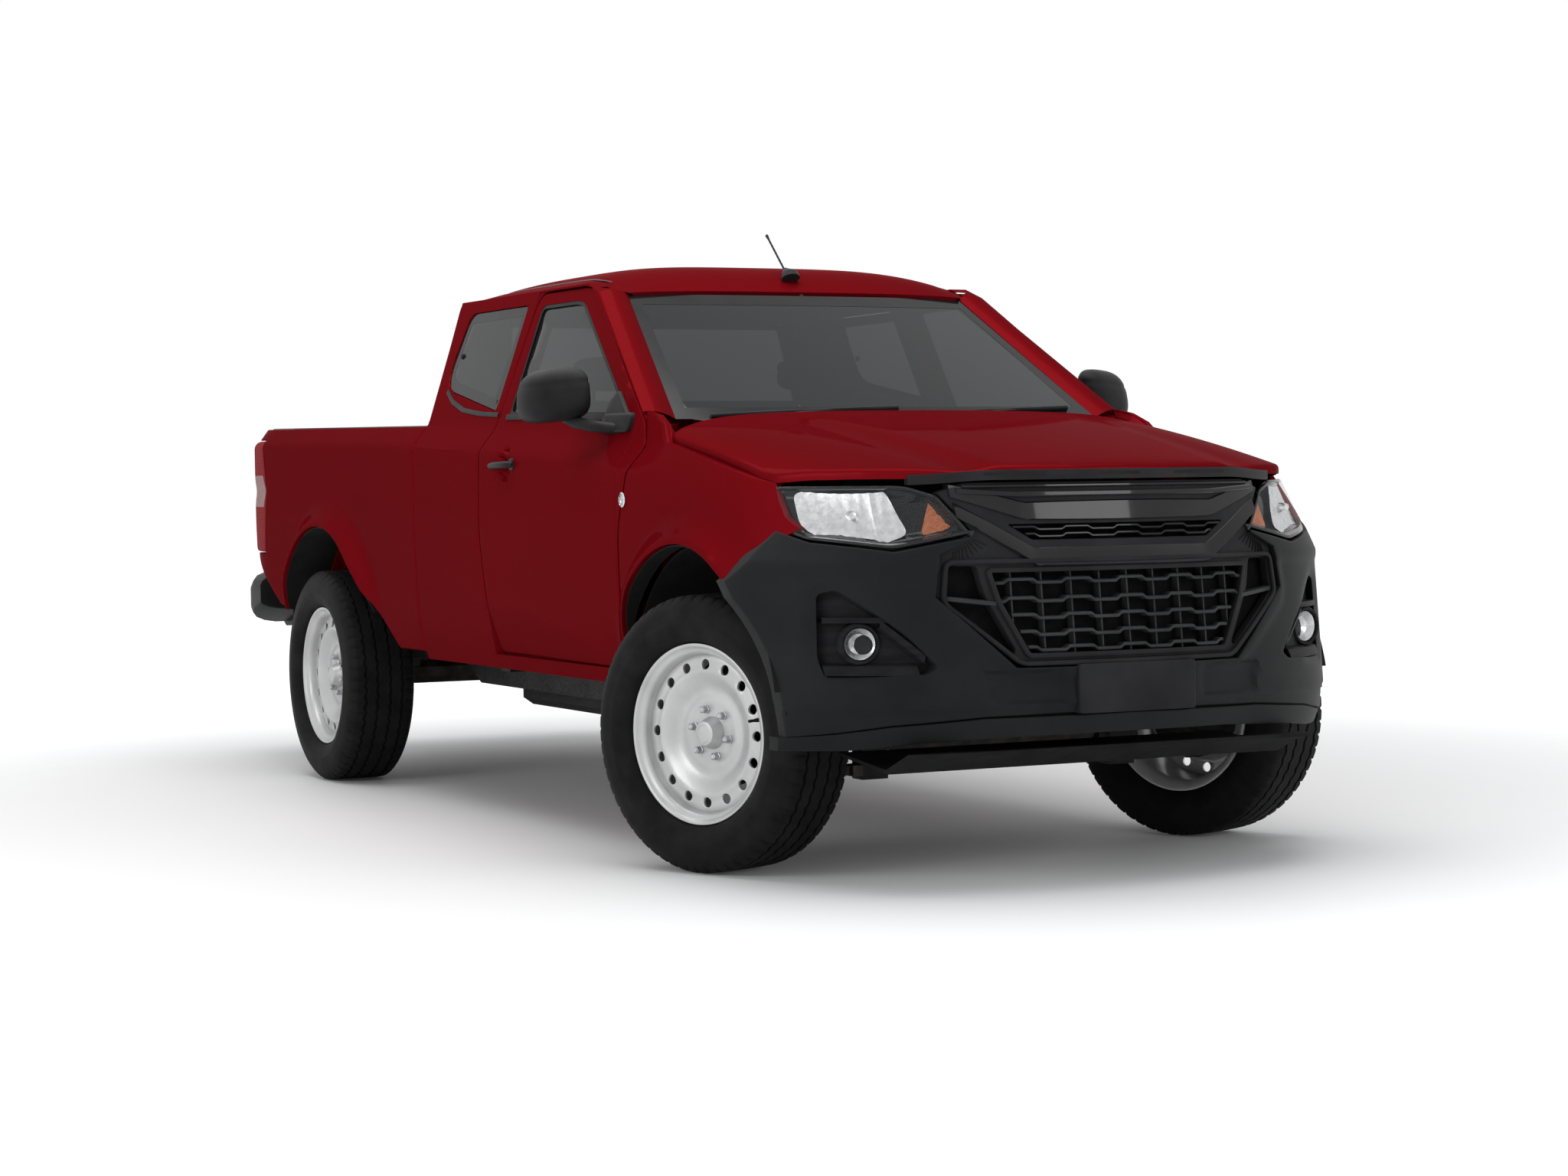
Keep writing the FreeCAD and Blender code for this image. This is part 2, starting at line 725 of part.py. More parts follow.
# Hood: crowned panel cut to the nose in front and to the fenders at its sides.
def hood_z(x, y):
    """Height of the hood skin: a falling centre line, a crown and rounded sides."""
    run = (x - v.hood_rear_x) / 1000
    centre = v.hood_rear_height - 90 * run - 55 * run ** 2
    crown = 12 + 46 * run
    share = y / 800
    return centre - crown * share ** 2 - (44 + 12 * run) * share ** 8


def hood_section(x, growth):
    ys = [-800, -600, -400, -200, 0, 200, 400, 600, 800]
    top = [point(x, y * (800 + growth) / 800, hood_z(x, y) + growth) for y in ys]
    low = [p - Vector(0, 0, v.hood_thickness + 2 * growth) for p in top]
    return Part.Wire([
        smooth(top),
        Part.makeLine(top[-1], low[-1]),
        smooth(low),
        Part.makeLine(low[0], top[0]),
    ])


def hood_shape(growth):
    """The hood, or with a growth the space that its neighbours keep clear."""
    slab = Part.makeLoft([hood_section(x, growth) for x in shares_between(1360, 2640, 6)], True, True)
    ys = [788, 700, 588, 440, 300, 150, 0, -150, -300, -440, -588, -700, -788]
    front = [(nose_surface_x(y, 1052) - 6 + growth, y + math.copysign(growth, y)) for y in ys]
    rear = [(1480, -795), (1474, -760), (1440, -500), (1414, -200), (1410, 0), (1414, 200), (1440, 500),
            (1474, 760), (1480, 795)]
    rear = [(x - growth, y + math.copysign(growth, y)) for x, y in rear]
    top = [point(x, y, 1400) for x, y in rear + front]
    low = [point(x + 0.35 * 400, y, 1000) for x, y in rear] + [point(x, y, 1000) for x, y in front]
    cutter = Part.makeLoft([Part.makePolygon(ring + ring[:1]) for ring in (low, top)], True, True)
    return slab.common(cutter)


hood = hood_shape(0)
hood_space = hood_shape(v.shut_gap)
parts["front_fenders"].Shape = parts["front_fenders"].Shape.cut(hood_space)
hood_arm = beam(point(v.hood_hinge_x + 4, 672, v.hood_hinge_height - 3), point(1600, 672, 1203), 16, 14)
hood_eye = Part.makeCylinder(12, 16, point(v.hood_hinge_x, 664, v.hood_hinge_height), Vector(0, 1, 0))
hood_arm = hood_arm.fuse(hood_eye).cut(
    Part.makeCylinder(6.6, 40, point(v.hood_hinge_x, 650, v.hood_hinge_height), Vector(0, 1, 0)))
keep("hood", fuse([hood, hood_arm, other_side(hood_arm)]))


# Front bumper: a thick moulding round the nose, open for the grille and the fog lamp pockets.
GRILLE_OUTLINE = [
    (-462, 1046), (462, 1046), (420, 925), (512, 868), (528, 760), (338, 588), (-338, 588),
    (-528, 760), (-512, 868), (-420, 925),
]
BUMPER_OUTLINE = [
    (940, 360), (940, 792), (806, 926), (612, 872), (420, 868), (-420, 868), (-612, 872),
    (-806, 926), (-940, 792), (-940, 360),
]
POCKET_OUTLINE = [(590, 566), (795, 566), (800, 735), (735, 742), (600, 660), (545, 600)]
bumper = nose_slab(360, 940, 0, v.wall).common(prism_x(BUMPER_OUTLINE, 1900, 2700))
bumper = bumper.cut(prism_x(GRILLE_OUTLINE, 1900, 2700))
pocket = prism_x(POCKET_OUTLINE, 1900, 2700)
pocket_back = nose_slab(540, 760, 44, 14).common(pocket)
for turn in (lambda shape: shape, other_side):
    bumper = bumper.cut(turn(pocket)).fuse(turn(pocket_back))
arches = [front_arch_cut, other_side(front_arch_cut)]
FENDER_FRONT = [(1700, 1200), (1951, 1099), (2134, 1048), (2202, 967), (2255, 936), (2096, 803), (1700, 803)]
fender_front = prism_y(FENDER_FRONT, 600, 960)
bumper = bumper.cut(arches + [fender_front, other_side(fender_front), fender, other_side(fender)])
plate = block((2560, v.nose_x), (-180, 180), (462, 578))
bumper = bumper.fuse(plate)
keep("front_bumper", bumper)


# Grille: a surround with stacked blades that follow the nose, and uprights behind them.
def blade(z_low, z_high, half, inset, depth):
    """A level bar that follows the nose between two half widths."""
    middle = (z_low + z_high) / 2
    ys = [half * share for share in (-1, -0.5, 0, 0.5, 1)]
    outer = [point(nose_surface_x(y, middle) - inset, y, z_low) for y in ys]
    inner = [p - Vector(depth, 0, 0) for p in outer]
    face = Part.Face(Part.Wire([
        smooth(outer),
        Part.makeLine(outer[-1], inner[-1]),
        smooth(inner),
        Part.makeLine(inner[0], outer[0]),
    ]))
    return face.extrude(Vector(0, 0, z_high - z_low))


surround = nose_slab(580, 1050, 12, 30).common(prism_x(shrunk(GRILLE_OUTLINE, 0.5), 1900, 2700))
opening_low = [(-372, 742), (-400, 812), (400, 812), (372, 742), (302, 612), (-302, 612)]
opening_mid = [(-330, 900), (-330, 935), (330, 935), (330, 900)]
surround = surround.cut([prism_x(opening_low, 1900, 2700), prism_x(opening_mid, 1900, 2700), hood_space])
blades = [surround, blade(832, 886, 410, 0, 40), blade(948, 1004, 430, 2, 30), blade(1026, 1052, 440, 2, 30)]
for row in range(5):
    level = 632 + row * 38
    half = 302 + (level - 612) * 0.55
    blades.append(blade(level, level + 12, half, 14, 26))
for y in (-240, 0, 240):
    x_back = nose_surface_x(y, 700) - 50
    blades.append(block((x_back - 10, x_back + 22), (y - 5, y + 5), (600, 830)))
grille = fuse(blades).cut([hood_space, bumper])
keep("grille", grille)


# Headlamps and fog lamps.
LAMP_OUTLINE = [
    (422, 924), (520, 922), (610, 878), (800, 918), (815, 960), (800, 1060), (588, 1060), (464, 1047),
]
lamp = nose_slab(860, 1046, 1, 90).common(prism_x(shrunk(LAMP_OUTLINE, 0.5), 1900, 2700))
lamp = lamp.cut([fender_front, fender, bumper, grille, hood_space])
fog_x = nose_surface_x(684, 640) - 48
fog = Part.makeCylinder(38, 34, point(fog_x, 684, 640), Vector(1, 0, 0))
fog = fog.cut(bumper)
keep("headlamps", Part.makeCompound([lamp, other_side(lamp), fog, other_side(fog)]))


# Load bed: floor with ribs, front wall and wheel housings; outer sides with their rails.
bed_front_x = v.cab_rear_x - v.cab_gap
bed_inner_y = v.body_half_width - v.bed_wall
gate_front_x = v.bed_rear_x + v.tailgate_thickness
floor_top = v.bed_floor_height
floor_rear_x = gate_front_x + 14
bed_floor = block((floor_rear_x, bed_front_x), (-bed_inner_y, bed_inner_y),
                  (floor_top - v.bed_floor_thickness, floor_top - v.bed_rib_height))
bed_set = [bed_floor]
rib_count = 9
for index in range(rib_count):
    y = -540 + index * 135
    bed_set.append(block((floor_rear_x, bed_front_x), (y - 38, y + 38),
                         (floor_top - v.bed_rib_height, floor_top)))
bed_set.append(block((bed_front_x - 32, bed_front_x), (-bed_inner_y, bed_inner_y),
                     (floor_top - v.bed_floor_thickness, v.bed_rail_front_height)))
tub_inner_y = 556
tub_outer = arch_cylinder(*REAR_ARCH, v.arch_radius - 2, tub_inner_y, bed_inner_y)
tub_space = arch_cylinder(*REAR_ARCH, v.arch_radius - 2 - 12, tub_inner_y + 12, bed_inner_y)
above_floor = block((floor_rear_x, bed_front_x), (-900, 900), (floor_top - v.bed_floor_thickness, 1300))
tub = tub_outer.cut(tub_space).common(above_floor)
tub_cut = tub_space
load_bed = fuse(bed_set).cut([tub_cut, other_side(tub_cut)])
load_bed = fuse([load_bed, tub, other_side(tub)])
bed_skin = side_slab(MAIN_STATIONS, 0, v.bed_wall + v.seat_gap)
load_bed = load_bed.cut([bed_skin, other_side(bed_skin)])
keep("load_bed", load_bed)

BED_OUTLINE = [
    (bed_front_x, 505),
    (bed_front_x, v.bed_rail_front_height),
    (v.bed_rear_x, v.bed_rail_rear_height),
    (v.bed_rear_x, 800),
    (-2050, 690),
    (-1930, 618),
    (-1790, 606),
]
LAMP_SIDE_OUTLINE = [(v.bed_rear_x - 20, 812), (v.bed_rear_x - 20, 1238), (-2080, 1238), (-2030, 1050), (-2070, 812)]
lamp_slab = side_slab(MAIN_STATIONS, 0, 36)
bed_side = bed_slab.common(side_prism(BED_OUTLINE)).cut(rear_arch_cut)
bed_side = bed_side.cut(lamp_slab.common(side_prism(LAMP_SIDE_OUTLINE)))
bed_side = fuse([bed_side, flare(REAR_ARCH, 38, 158, v.body_half_width - 4)])
keep("bed_sides", Part.makeCompound([bed_side, other_side(bed_side)]))
tail_slab = side_slab(MAIN_STATIONS, 0, 36 - v.seat_gap)
tail_lamp = tail_slab.common(side_prism(shrunk(LAMP_SIDE_OUTLINE, 1)))
keep("tail_lamps", Part.makeCompound([tail_lamp, other_side(tail_lamp)]))

# Tailgate: a thick panel on two pins at its lower edge, narrower where the bed's walls lean in.
gate_levels = [758, 900, 1060, shoulder_z(v.bed_rear_x), 1272]
gate_edge = [(side_y(v.bed_rear_x, z) - v.bed_wall - v.shut_gap, z) for z in gate_levels]
gate = prism_x(gate_edge + [(-y, z) for y, z in reversed(gate_edge)], v.bed_rear_x, gate_front_x)
gate = gate.cut(block((v.bed_rear_x - 10, v.bed_rear_x + 22), (-120, 120), (1130, 1200)))
pin_reach = 30
for side, sign in SIDES.items():
    inner = side_y(v.tailgate_hinge_x, v.tailgate_hinge_height) - v.bed_wall - pin_reach
    foot = point(v.tailgate_hinge_x, sign * inner, v.tailgate_hinge_height)
    gate = gate.fuse(rod(foot, foot + Vector(0, sign * 2 * pin_reach, 0), 7))
    socket = rod(foot, foot + Vector(0, sign * (2 * pin_reach + 2), 0), 7.6)
    parts["bed_sides"].Shape = parts["bed_sides"].Shape.cut(socket)
keep("tailgate", gate)


# Rear bumper: a step bar with end pieces under the tail lamps, on brackets from the frame.
STEP_OUTLINE = [(-2635, 545), (-2635, 640), (-2610, 652), (-2440, 652), (-2330, 652), (-2330, 560), (-2560, 500)]
step = prism_y(STEP_OUTLINE, -640, 640)
END_OUTLINE = [(-2590, 560), (-2590, 690), (-2520, 738), (-2322, 738), (-2322, 580), (-2540, 520)]
end_piece = prism_y(END_OUTLINE, 640, 826)
end_piece = end_piece.cut(prism([point(-2700, 690, 400), point(-2480, 840, 400), point(-2700, 860, 400)],
                                Vector(0, 0, 500)))
keep("rear_bumper", fuse([step, end_piece, other_side(end_piece)]))


# Chassis frame: two rails that close in towards the front and rise over the rear axle.
RAIL_PATH = [
    (2420, v.rail_front_y, 440), (2050, v.rail_front_y, 440), (1280, v.rail_front_y, 376),
    (700, v.rail_rear_y, v.rail_base_height), (-700, v.rail_rear_y, v.rail_base_height),
    (-1120, v.rail_rear_y, 560), (-1640, v.rail_rear_y, 570), (-1980, v.rail_rear_y, 540),
    (v.bed_rear_x - 39.7, v.rail_rear_y, 540),
]
rail_rings = []
for x, y, z in RAIL_PATH:
    half_w = v.rail_width / 2
    ring = [point(x, y - half_w, z), point(x, y + half_w, z), point(x, y + half_w, z + v.rail_height),
            point(x, y - half_w, z + v.rail_height)]
    rail_rings.append(Part.makePolygon(ring + ring[:1]))
rail = Part.makeLoft(rail_rings, True, True)
members = [rail, other_side(rail)]
for x, y, z in ((2300, v.rail_front_y, 500), (1870, v.rail_front_y, 450), (300, v.rail_rear_y, 396),
                (-900, v.rail_rear_y, 500), (-1150, v.rail_rear_y, 580), (-1990, v.rail_rear_y, 600)):
    members.append(bar(point(x, -y, z), point(x, y, z), v.cross_radius))
members.append(block((860, 940), (-460, 460), (376, 418)))
mount_top = v.floor_height - v.seat_gap
spring_y = 572
for sign in (-1, 1):
    for x in (900, -200):
        members.append(block((x - 40, x + 40), sorted((sign * 440, sign * 640)), (440, mount_top)))
    for x in (-620, -1560, -2180):
        members.append(block((x - 40, x + 40), sorted((sign * 480, sign * 530)), (480, 735.6)))
    bracket = sorted((sign * 500, sign * (spring_y - 30.3)))
    members.append(block((-660, -600), bracket, (440, 500)))
    members.append(block((-2000, -1950), bracket, (505, 600)))
    members.append(block((1610, 1890), sorted((sign * 390, sign * 430)), (440, 660)))
    members.append(block((1690, 1810), sorted((sign * 400, sign * 520)), (640, 662)))
    for x in (1600, 1900):
        members.append(block((x - 30, x + 30), sorted((sign * 360, sign * 439.7)), (240, 430)))
members.append(block((2340, 2420), (-560, 560), (470, 570)))
chassis = fuse(members)
keep("chassis_frame", chassis)


# Engine block and gearbox as one plain mass, and the cooling pack behind the grille.
engine = fuse([
    block((1480, 2080), (-250, 250), (520, 1060)),
    block((1180, 1490), (-150, 150), (350, 494)),
    block((1440, 1520), (-150, 150), (350, 560)),
    block((760, 1190), (-100, 100), (419.7 - 1.3, 494)),
    block((1640, 1700), (-340.7, 340.7), (460, 530)),
])
keep("engine_block", engine)
keep("radiator", fuse([block((2260, 2320), (-340, 340), (600, 960)), block((2285, 2315), (-330, 330), (522.3, 610))]))


# Front suspension: two wishbones a side, a spring leg and the steering rack.
kingpin_y = v.half_track - v.kingpin_inset
low_z = v.tyre_radius - v.kingpin_spread
high_z = v.tyre_radius + v.kingpin_spread + 20
suspension = []
for z, reach, inner_y in ((low_z, 150, 455), (high_z, 100, 446)):
    for lead in (-reach, reach):
        bush = point(v.front_axle_x + lead, inner_y, z + 20)
        suspension.append(beam(point(v.front_axle_x, kingpin_y - 14, z), bush, 34, 24))
        suspension.append(beam(bush - Vector(34, 0, 0), bush + Vector(34, 0, 0), 30, 30))
    suspension.append(bar(point(v.front_axle_x, kingpin_y, z - 14), point(v.front_axle_x, kingpin_y, z + 14), 18))
suspension.append(block((1650, 1850), (500, 540), (low_z - 6, low_z + 22)))
suspension.append(bar(point(v.front_axle_x, 520, low_z), point(v.front_axle_x, 480, 620), 44))
suspension.append(block((v.front_axle_x - 30, v.front_axle_x + 30), (450, 510), (606, 639.7)))
arms = fuse(suspension)
bore_radius = v.kingpin_radius + v.running_gap
for z in (low_z, high_z):
    arms = arms.cut(rod(point(v.front_axle_x, kingpin_y, z - 60), point(v.front_axle_x, kingpin_y, z + 60), bore_radius))
rack = fuse([
    bar(point(1870, -330, 340), point(1870, 330, 340), 26),
    block((1855, 1885), (-300, -260), (340, 427.7)),
    block((1855, 1885), (260, 300), (340, 427.7)),
])
keep("front_suspension", Part.makeCompound([arms, other_side(arms), rack]))


# Rear axle with its drums, spindles, leaf springs and propeller shaft.
axle_z = v.tyre_radius
mount_y = v.half_track + v.hub_face_out
drum_face = kingpin_y + 42
hub_face = mount_y - v.disc_metal - v.running_gap
drum_inner = drum_face - v.drum_width
axle_set = [
    bar(point(REAR_AXLE_X, -drum_inner, axle_z), point(REAR_AXLE_X, drum_inner, axle_z), v.axle_tube_radius),
    faceted_ring([(30, -115), (104, -72), (124, -20), (124, 20), (104, 72), (30, 115)], 12).translated(
        point(REAR_AXLE_X, 0, axle_z)),
]
for sign in (-1, 1):
    for shape, radius, start_y, end_y in ((rod, v.drum_radius, drum_inner, drum_face), (bar, 58, drum_face, hub_face),
                                          (rod, v.spindle_radius, drum_face, mount_y + v.spindle_reach)):
        axle_set.append(shape(point(REAR_AXLE_X, sign * start_y, axle_z), point(REAR_AXLE_X, sign * end_y, axle_z),
                              radius))
    leaf = [(-620, 470), (-620, 496), (-1150, 472), (-1600, 472), (-1980, 545), (-1980, 516), (-1600, 440),
            (-1150, 440)]
    axle_set.append(prism_y(leaf, *sorted((sign * (spring_y - 30), sign * (spring_y + 30)))))
    saddle = sorted((sign * (spring_y - 36), sign * (spring_y + 36)))
    axle_set.append(block((REAR_AXLE_X - 60, REAR_AXLE_X + 60), saddle, (400, 450)))
axle_set.append(bar(point(REAR_AXLE_X + 100, 0, 420), point(759, 0, 460), 29))
keep("rear_axle", fuse(axle_set))


# Fuel tank, exhaust, spare wheel, skid plate.
TANK_OUTLINE = [(-436, 325), (-400, 300), (-190, 300), (-150, 325), (-150, 460), (-190, 485), (-400, 485), (-436, 460)]
tank = prism_x(TANK_OUTLINE, -560, 260)
tank = fuse([tank, block((-460, -420), (-473.7, -430), (390, 440)), block((120, 160), (-473.7, -430), (390, 440))])
keep("fuel_tank", tank)
pipe_points = [
    point(1500, 190, 452), point(0, 300, 448), point(-560, 300, 410), point(-900, 330, 660), point(-2040, 330, 660),
    point(-2300, 350, 540),
]
exhaust = [bar(start, end, v.exhaust_radius) for start, end in zip(pipe_points[:-1], pipe_points[1:])]
exhaust.append(bar(point(-560, 300, 410), point(0, 300, 410), 80, 12))
exhaust.append(block((-250, -210), (285, 315), (480, mount_top)))
exhaust.append(block((-1700, -1660), (315, 345), (670, 735.6)))
keep("exhaust", fuse(exhaust))
spare_centre = point(-1990, -60, 380)
SPARE_PROFILE = [(120, 30), (120, 150), (230, 190), (320, 190), (360, 150), (360, 40), (320, 0), (200, 0)]
spare = faceted_ring(SPARE_PROFILE, 32)
spare = fuse([spare, bar(point(0, 60, 0), point(0, 75, 0), 122, 16)])
spare.rotate(Vector(0, 0, 0), Vector(1, 0, 0), 90)
spare.translate(spare_centre)
spare = fuse([spare, bar(spare_centre + Vector(0, 0, 62), spare_centre + Vector(0, 0, 197.7), 20)])
keep("spare_wheel", spare)
SKID_OUTLINE = [(2120, 330), (2120, 338), (2380, 312), (2500, 359.7), (2540, 359.7), (2540, 350), (2506, 350),
                (2386, 300)]
skid = prism_y(SKID_OUTLINE, -610, 610)
keep("skid_plate", skid)


# Wheel arch liners and mud flaps.
def liner(centre, outer_y):
    ring = arch_cylinder(*centre, v.arch_radius - 1, v.liner_inner_y, outer_y).cut(
        arch_cylinder(*centre, v.arch_radius - 1 - v.liner_thickness, v.liner_inner_y - 5, outer_y + 5))
    keep_zone = block((centre[0] - 600, centre[0] + 600), (0, 1000), (centre[1] + 60, 1200))
    return ring.common(keep_zone)


front_liner = liner(FRONT_ARCH, v.body_half_width - v.fender_wall - 30)
flap = block((-1868, -1860), (690, 840), (290, 611.7))
keep("wheel_liners", Part.makeCompound([front_liner, other_side(front_liner), flap, other_side(flap)]))


# Dashboard with the steering column, and the steering wheel that turns on it.
DASH_OUTLINE = [(1214.6, 560), (1214.6, 1158), (1150, 1205), (1040, 1180), (1005, 1100), (1060, 960), (1090, 760), (1150, 560)]
dash = prism_y(DASH_OUTLINE, -740, 740)
tilt = math.radians(v.column_angle)
column_axis = Vector(-math.cos(tilt), 0, math.sin(tilt))
wheel_centre = point(v.wheel_centre_x, v.driver_y, v.wheel_centre_height)
column_start = wheel_centre - column_axis * 60
column = rod(column_start, wheel_centre - column_axis * 260, 34)
column_bore = rod(wheel_centre - column_axis * 40, wheel_centre - column_axis * 150, 12 + v.running_gap)
keep("dashboard", fuse([dash, column]).cut(column_bore))
grip = [
    (v.wheel_ring_radius + v.wheel_ring_thickness * math.cos(math.radians(a)),
     v.wheel_ring_thickness * math.sin(math.radians(a)))
    for a in (30, 90, 150, 210, 270, 330)
]
ring = faceted_ring(grip, 36)
ring.rotate(Vector(0, 0, 0), Vector(1, 0, 0), 90)
hub = Part.makeCylinder(62, 34, point(0, 0, -26))
shaft = Part.makeCylinder(12, 140, point(0, 0, -140))
spoke_span = (-14, -2)
spoke_reach = v.wheel_ring_radius - 4
spokes = [
    block((-22, 22), (0, spoke_reach), spoke_span),
    block((-22, 22), (-spoke_reach, 0), spoke_span),
    block((-spoke_reach, 0), (-22, 22), spoke_span),
]
steering_wheel = keep("steering_wheel", fuse([hub, shaft, ring] + spokes))
steering_wheel.Placement = FreeCAD.Placement(
    wheel_centre, FreeCAD.Rotation(Vector(0, -1, 0), 90 - v.column_angle))


# Seats: front pair with headrests and a small bench behind them.
def front_seat(y):
    base = block((240, 640), (y - 200, y + 200), (v.floor_height + v.floor_thickness, 640))
    cushion = prism_y([(180, 640), (170, 740), (240, 770), (640, 790), (690, 750), (680, 640)], y - 250, y + 250)
    back = prism_y([(150, 700), (250, 770), (130, 1290), (60, 1310), (20, 1280)], y - 240, y + 240)
    rest = prism_y([(20, 1330), (10, 1480), (60, 1500), (105, 1480), (110, 1340)], y - 120, y + 120)
    posts = block((55, 75), (y - 60, y + 60), (1290, 1340))
    return fuse([base, cushion, back, rest, posts])


bench = prism_y([(-330, v.floor_height + v.floor_thickness), (-330, 800), (-60, 800), (-40, 740), (-60, v.floor_height + v.floor_thickness)], -640, 640)
bench_back = prism_y([(-344, 800), (-344, 1180), (-290, 1180), (-270, 800)], -640, 640)
keep("seats", Part.makeCompound([front_seat(v.driver_y), front_seat(-v.driver_y), fuse([bench, bench_back])]))


# Wipers and roof antenna.
def on_glass(y, z, lift):
    """A point that lies a little in front of the windscreen."""
    rise = (z - 1240) / (1634 - 1240)
    centre = 1372 + (742 - 1372) * rise
    corner = 1320 + (706 - 1320) * rise
    half = 705.4 + (578.2 - 705.4) * rise
    return point(centre - (centre - corner) * (y / half) ** 2 + lift, y, z)


wiper_set = []
for y_park, y_tip in ((-590, 0), (60, 610)):
    ys = shares_between(y_park, y_tip, 5)
    stops = [on_glass(y, 1252 + 20 * index / 4, 15) for index, y in enumerate(ys)]
    bars = [beam(stops[index], stops[index + 1], 14, 8) for index in range(4)]
    wiper_set.append(fuse(bars))
keep("wipers", Part.makeCompound(wiper_set))
mast = fuse([
    prism_y([(672, 1690), (664, 1712), (640, 1728), (616, 1728), (606, 1690)], -18, 18),
    bar(point(636, 0, 1715), point(500, 0, 1842), 4, 6),
])
keep("roof_antenna", mast.cut(roof))


# Wheels: steel discs with a ring of vents, on hubs bored for the spindles; tyres on the rims.
def mirrored(half_profile):
    """A half profile of (radius, y) with its other half."""
    return [(r, -y) for r, y in half_profile] + [(r, y) for r, y in reversed(half_profile)]


TYRE_PROFILE = mirrored([
    (v.bead_radius, v.bead_width / 2),
    (v.bulge_radius, v.tyre_width / 2),
    (v.shoulder_radius, v.shoulder_width / 2),
    (v.tyre_radius, v.tread_width / 2),
])
seat_radius = v.bead_radius - v.seat_gap
barrel_radius = seat_radius - v.rim_metal
flange_y = v.rim_width / 2
seat_y = v.bead_width / 2 + v.seat_gap
disc_y = v.disc_ring_out
RIM_PROFILE = [
    (barrel_radius, -flange_y),
    (v.rim_flange_radius, -flange_y),
    (v.rim_flange_radius, v.rim_flange_thickness * 0.6 - flange_y),
    (seat_radius, -seat_y),
    (seat_radius, seat_y),
    (v.rim_flange_radius, flange_y - v.rim_flange_thickness * 0.6),
    (v.rim_flange_radius, flange_y),
    (barrel_radius, flange_y),
    (barrel_radius, disc_y),
    (v.disc_step_radius, disc_y),
    (v.disc_bowl_radius, v.hub_face_out + v.disc_metal),
    (v.spindle_radius - 4, v.hub_face_out + v.disc_metal),
    (v.spindle_radius - 4, v.hub_face_out - v.disc_metal),
    (v.disc_bowl_radius, v.hub_face_out - v.disc_metal),
    (v.disc_step_radius, disc_y - v.disc_metal * 2),
    (barrel_radius, disc_y - v.disc_metal * 2),
]
facets = int(v.wheel_facets)
tyre_shape = faceted_ring(TYRE_PROFILE, facets)
rim_shape = faceted_ring(RIM_PROFILE, facets)
bore = Part.makeCylinder(v.spindle_radius + v.running_gap, v.rim_width, point(0, 0, 0), Vector(0, 1, 0))
vents = [bore]
for index in range(int(v.vent_count)):
    angle = 2 * math.pi * index / v.vent_count
    foot = point(v.vent_circle_radius * math.sin(angle), v.hub_face_out, v.vent_circle_radius * math.cos(angle))
    vents.append(bar(foot, foot + Vector(0, v.hub_face_out * 2, 0), v.vent_radius, 6))
rim_shape = rim_shape.cut(vents).removeSplitter()


def wheel_places():
    """The four wheels: name, centre, turn about the upright and the side."""
    for end in ("front", "rear"):
        for side, sign in SIDES.items():
            facing = FreeCAD.Rotation(Vector(0, 0, 1), 0 if sign > 0 else 180)
            centre = point(v.front_axle_x if end == "front" else REAR_AXLE_X, sign * v.half_track, v.tyre_radius)
            place = FreeCAD.Placement(centre, facing)
            if end == "front":
                place = steered(sign).multiply(place)
            yield f"{end}_{side}", place


def steered(sign):
    """The turn of one front corner about its kingpin in the parked pose."""
    pivot = point(v.front_axle_x, sign * kingpin_y, 0)
    return FreeCAD.Placement(Vector(0, 0, 0), FreeCAD.Rotation(Vector(0, 0, 1), v.steer_angle), pivot)


for place_name, place in wheel_places():
    for label, shape in (("tyre", tyre_shape), ("rim", rim_shape)):
        feature = keep(f"{label}_{place_name}", shape)
        feature.Placement = place


# Knuckles: upright, spindle, brake disc and caliper, turned with the front wheels.
def knuckle(sign):
    x, z = v.front_axle_x, v.tyre_radius
    low = z - v.kingpin_spread + 22
    high = z + v.kingpin_spread + 20 - 22
    upright = block((x - 28, x + 28), (kingpin_y - 26, kingpin_y + 8), (low, high))
    studs = [
        rod(point(x, kingpin_y, low - 42), point(x, kingpin_y, low + 5), v.kingpin_radius),
        rod(point(x, kingpin_y, high - 5), point(x, kingpin_y, high + 42), v.kingpin_radius),
    ]
    hub = bar(point(x, kingpin_y - 34, z), point(x, hub_face, z), 58)
    spindle = arch_cylinder(x, z, v.spindle_radius, kingpin_y, mount_y + v.spindle_reach)
    disc = bar(point(x, kingpin_y + 20, z), point(x, kingpin_y + 20 + v.disc_brake_thickness, z),
               v.disc_brake_radius, 20)
    caliper = block((x - 165, x - 95), (kingpin_y - 12, kingpin_y + 42), (z - 50, z + 60))
    arm = beam(point(x + 20, kingpin_y - 10, z - 50), point(x + 150, kingpin_y - 34, z - 50), 24, 24)
    whole = fuse([upright, hub, spindle, disc, caliper, arm] + studs)
    whole = whole if sign > 0 else other_side(whole)
    feature_place = steered(sign)
    return whole, feature_place


for side, sign in SIDES.items():
    shape, place = knuckle(sign)
    feature = keep(f"knuckle_{side}", shape)
    feature.Placement = place


# Every feature has to be sound before anything is written.
doc.recompute()
for item in doc.Objects:
    if "Invalid" in item.State or "Error" in item.State:
        raise RuntimeError(f"{item.Label} failed: {item.State}")
for label, item in parts.items():
    if item.Shape.isNull() or not item.Shape.isValid():
        raise RuntimeError(f"{label} is not a valid shape")

os.makedirs("parts", exist_ok=True)
for label, item in parts.items():
    item.Shape.exportStep(os.path.join("parts", f"{label}.step"))
print(len(parts), "parts,", sum(len(item.Shape.Solids) for item in parts.values()), "solids")
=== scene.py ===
import json
import math

import bmesh
import bpy
import numpy as np
from mathutils import Matrix, Vector
from mathutils.geometry import delaunay_2d_cdt

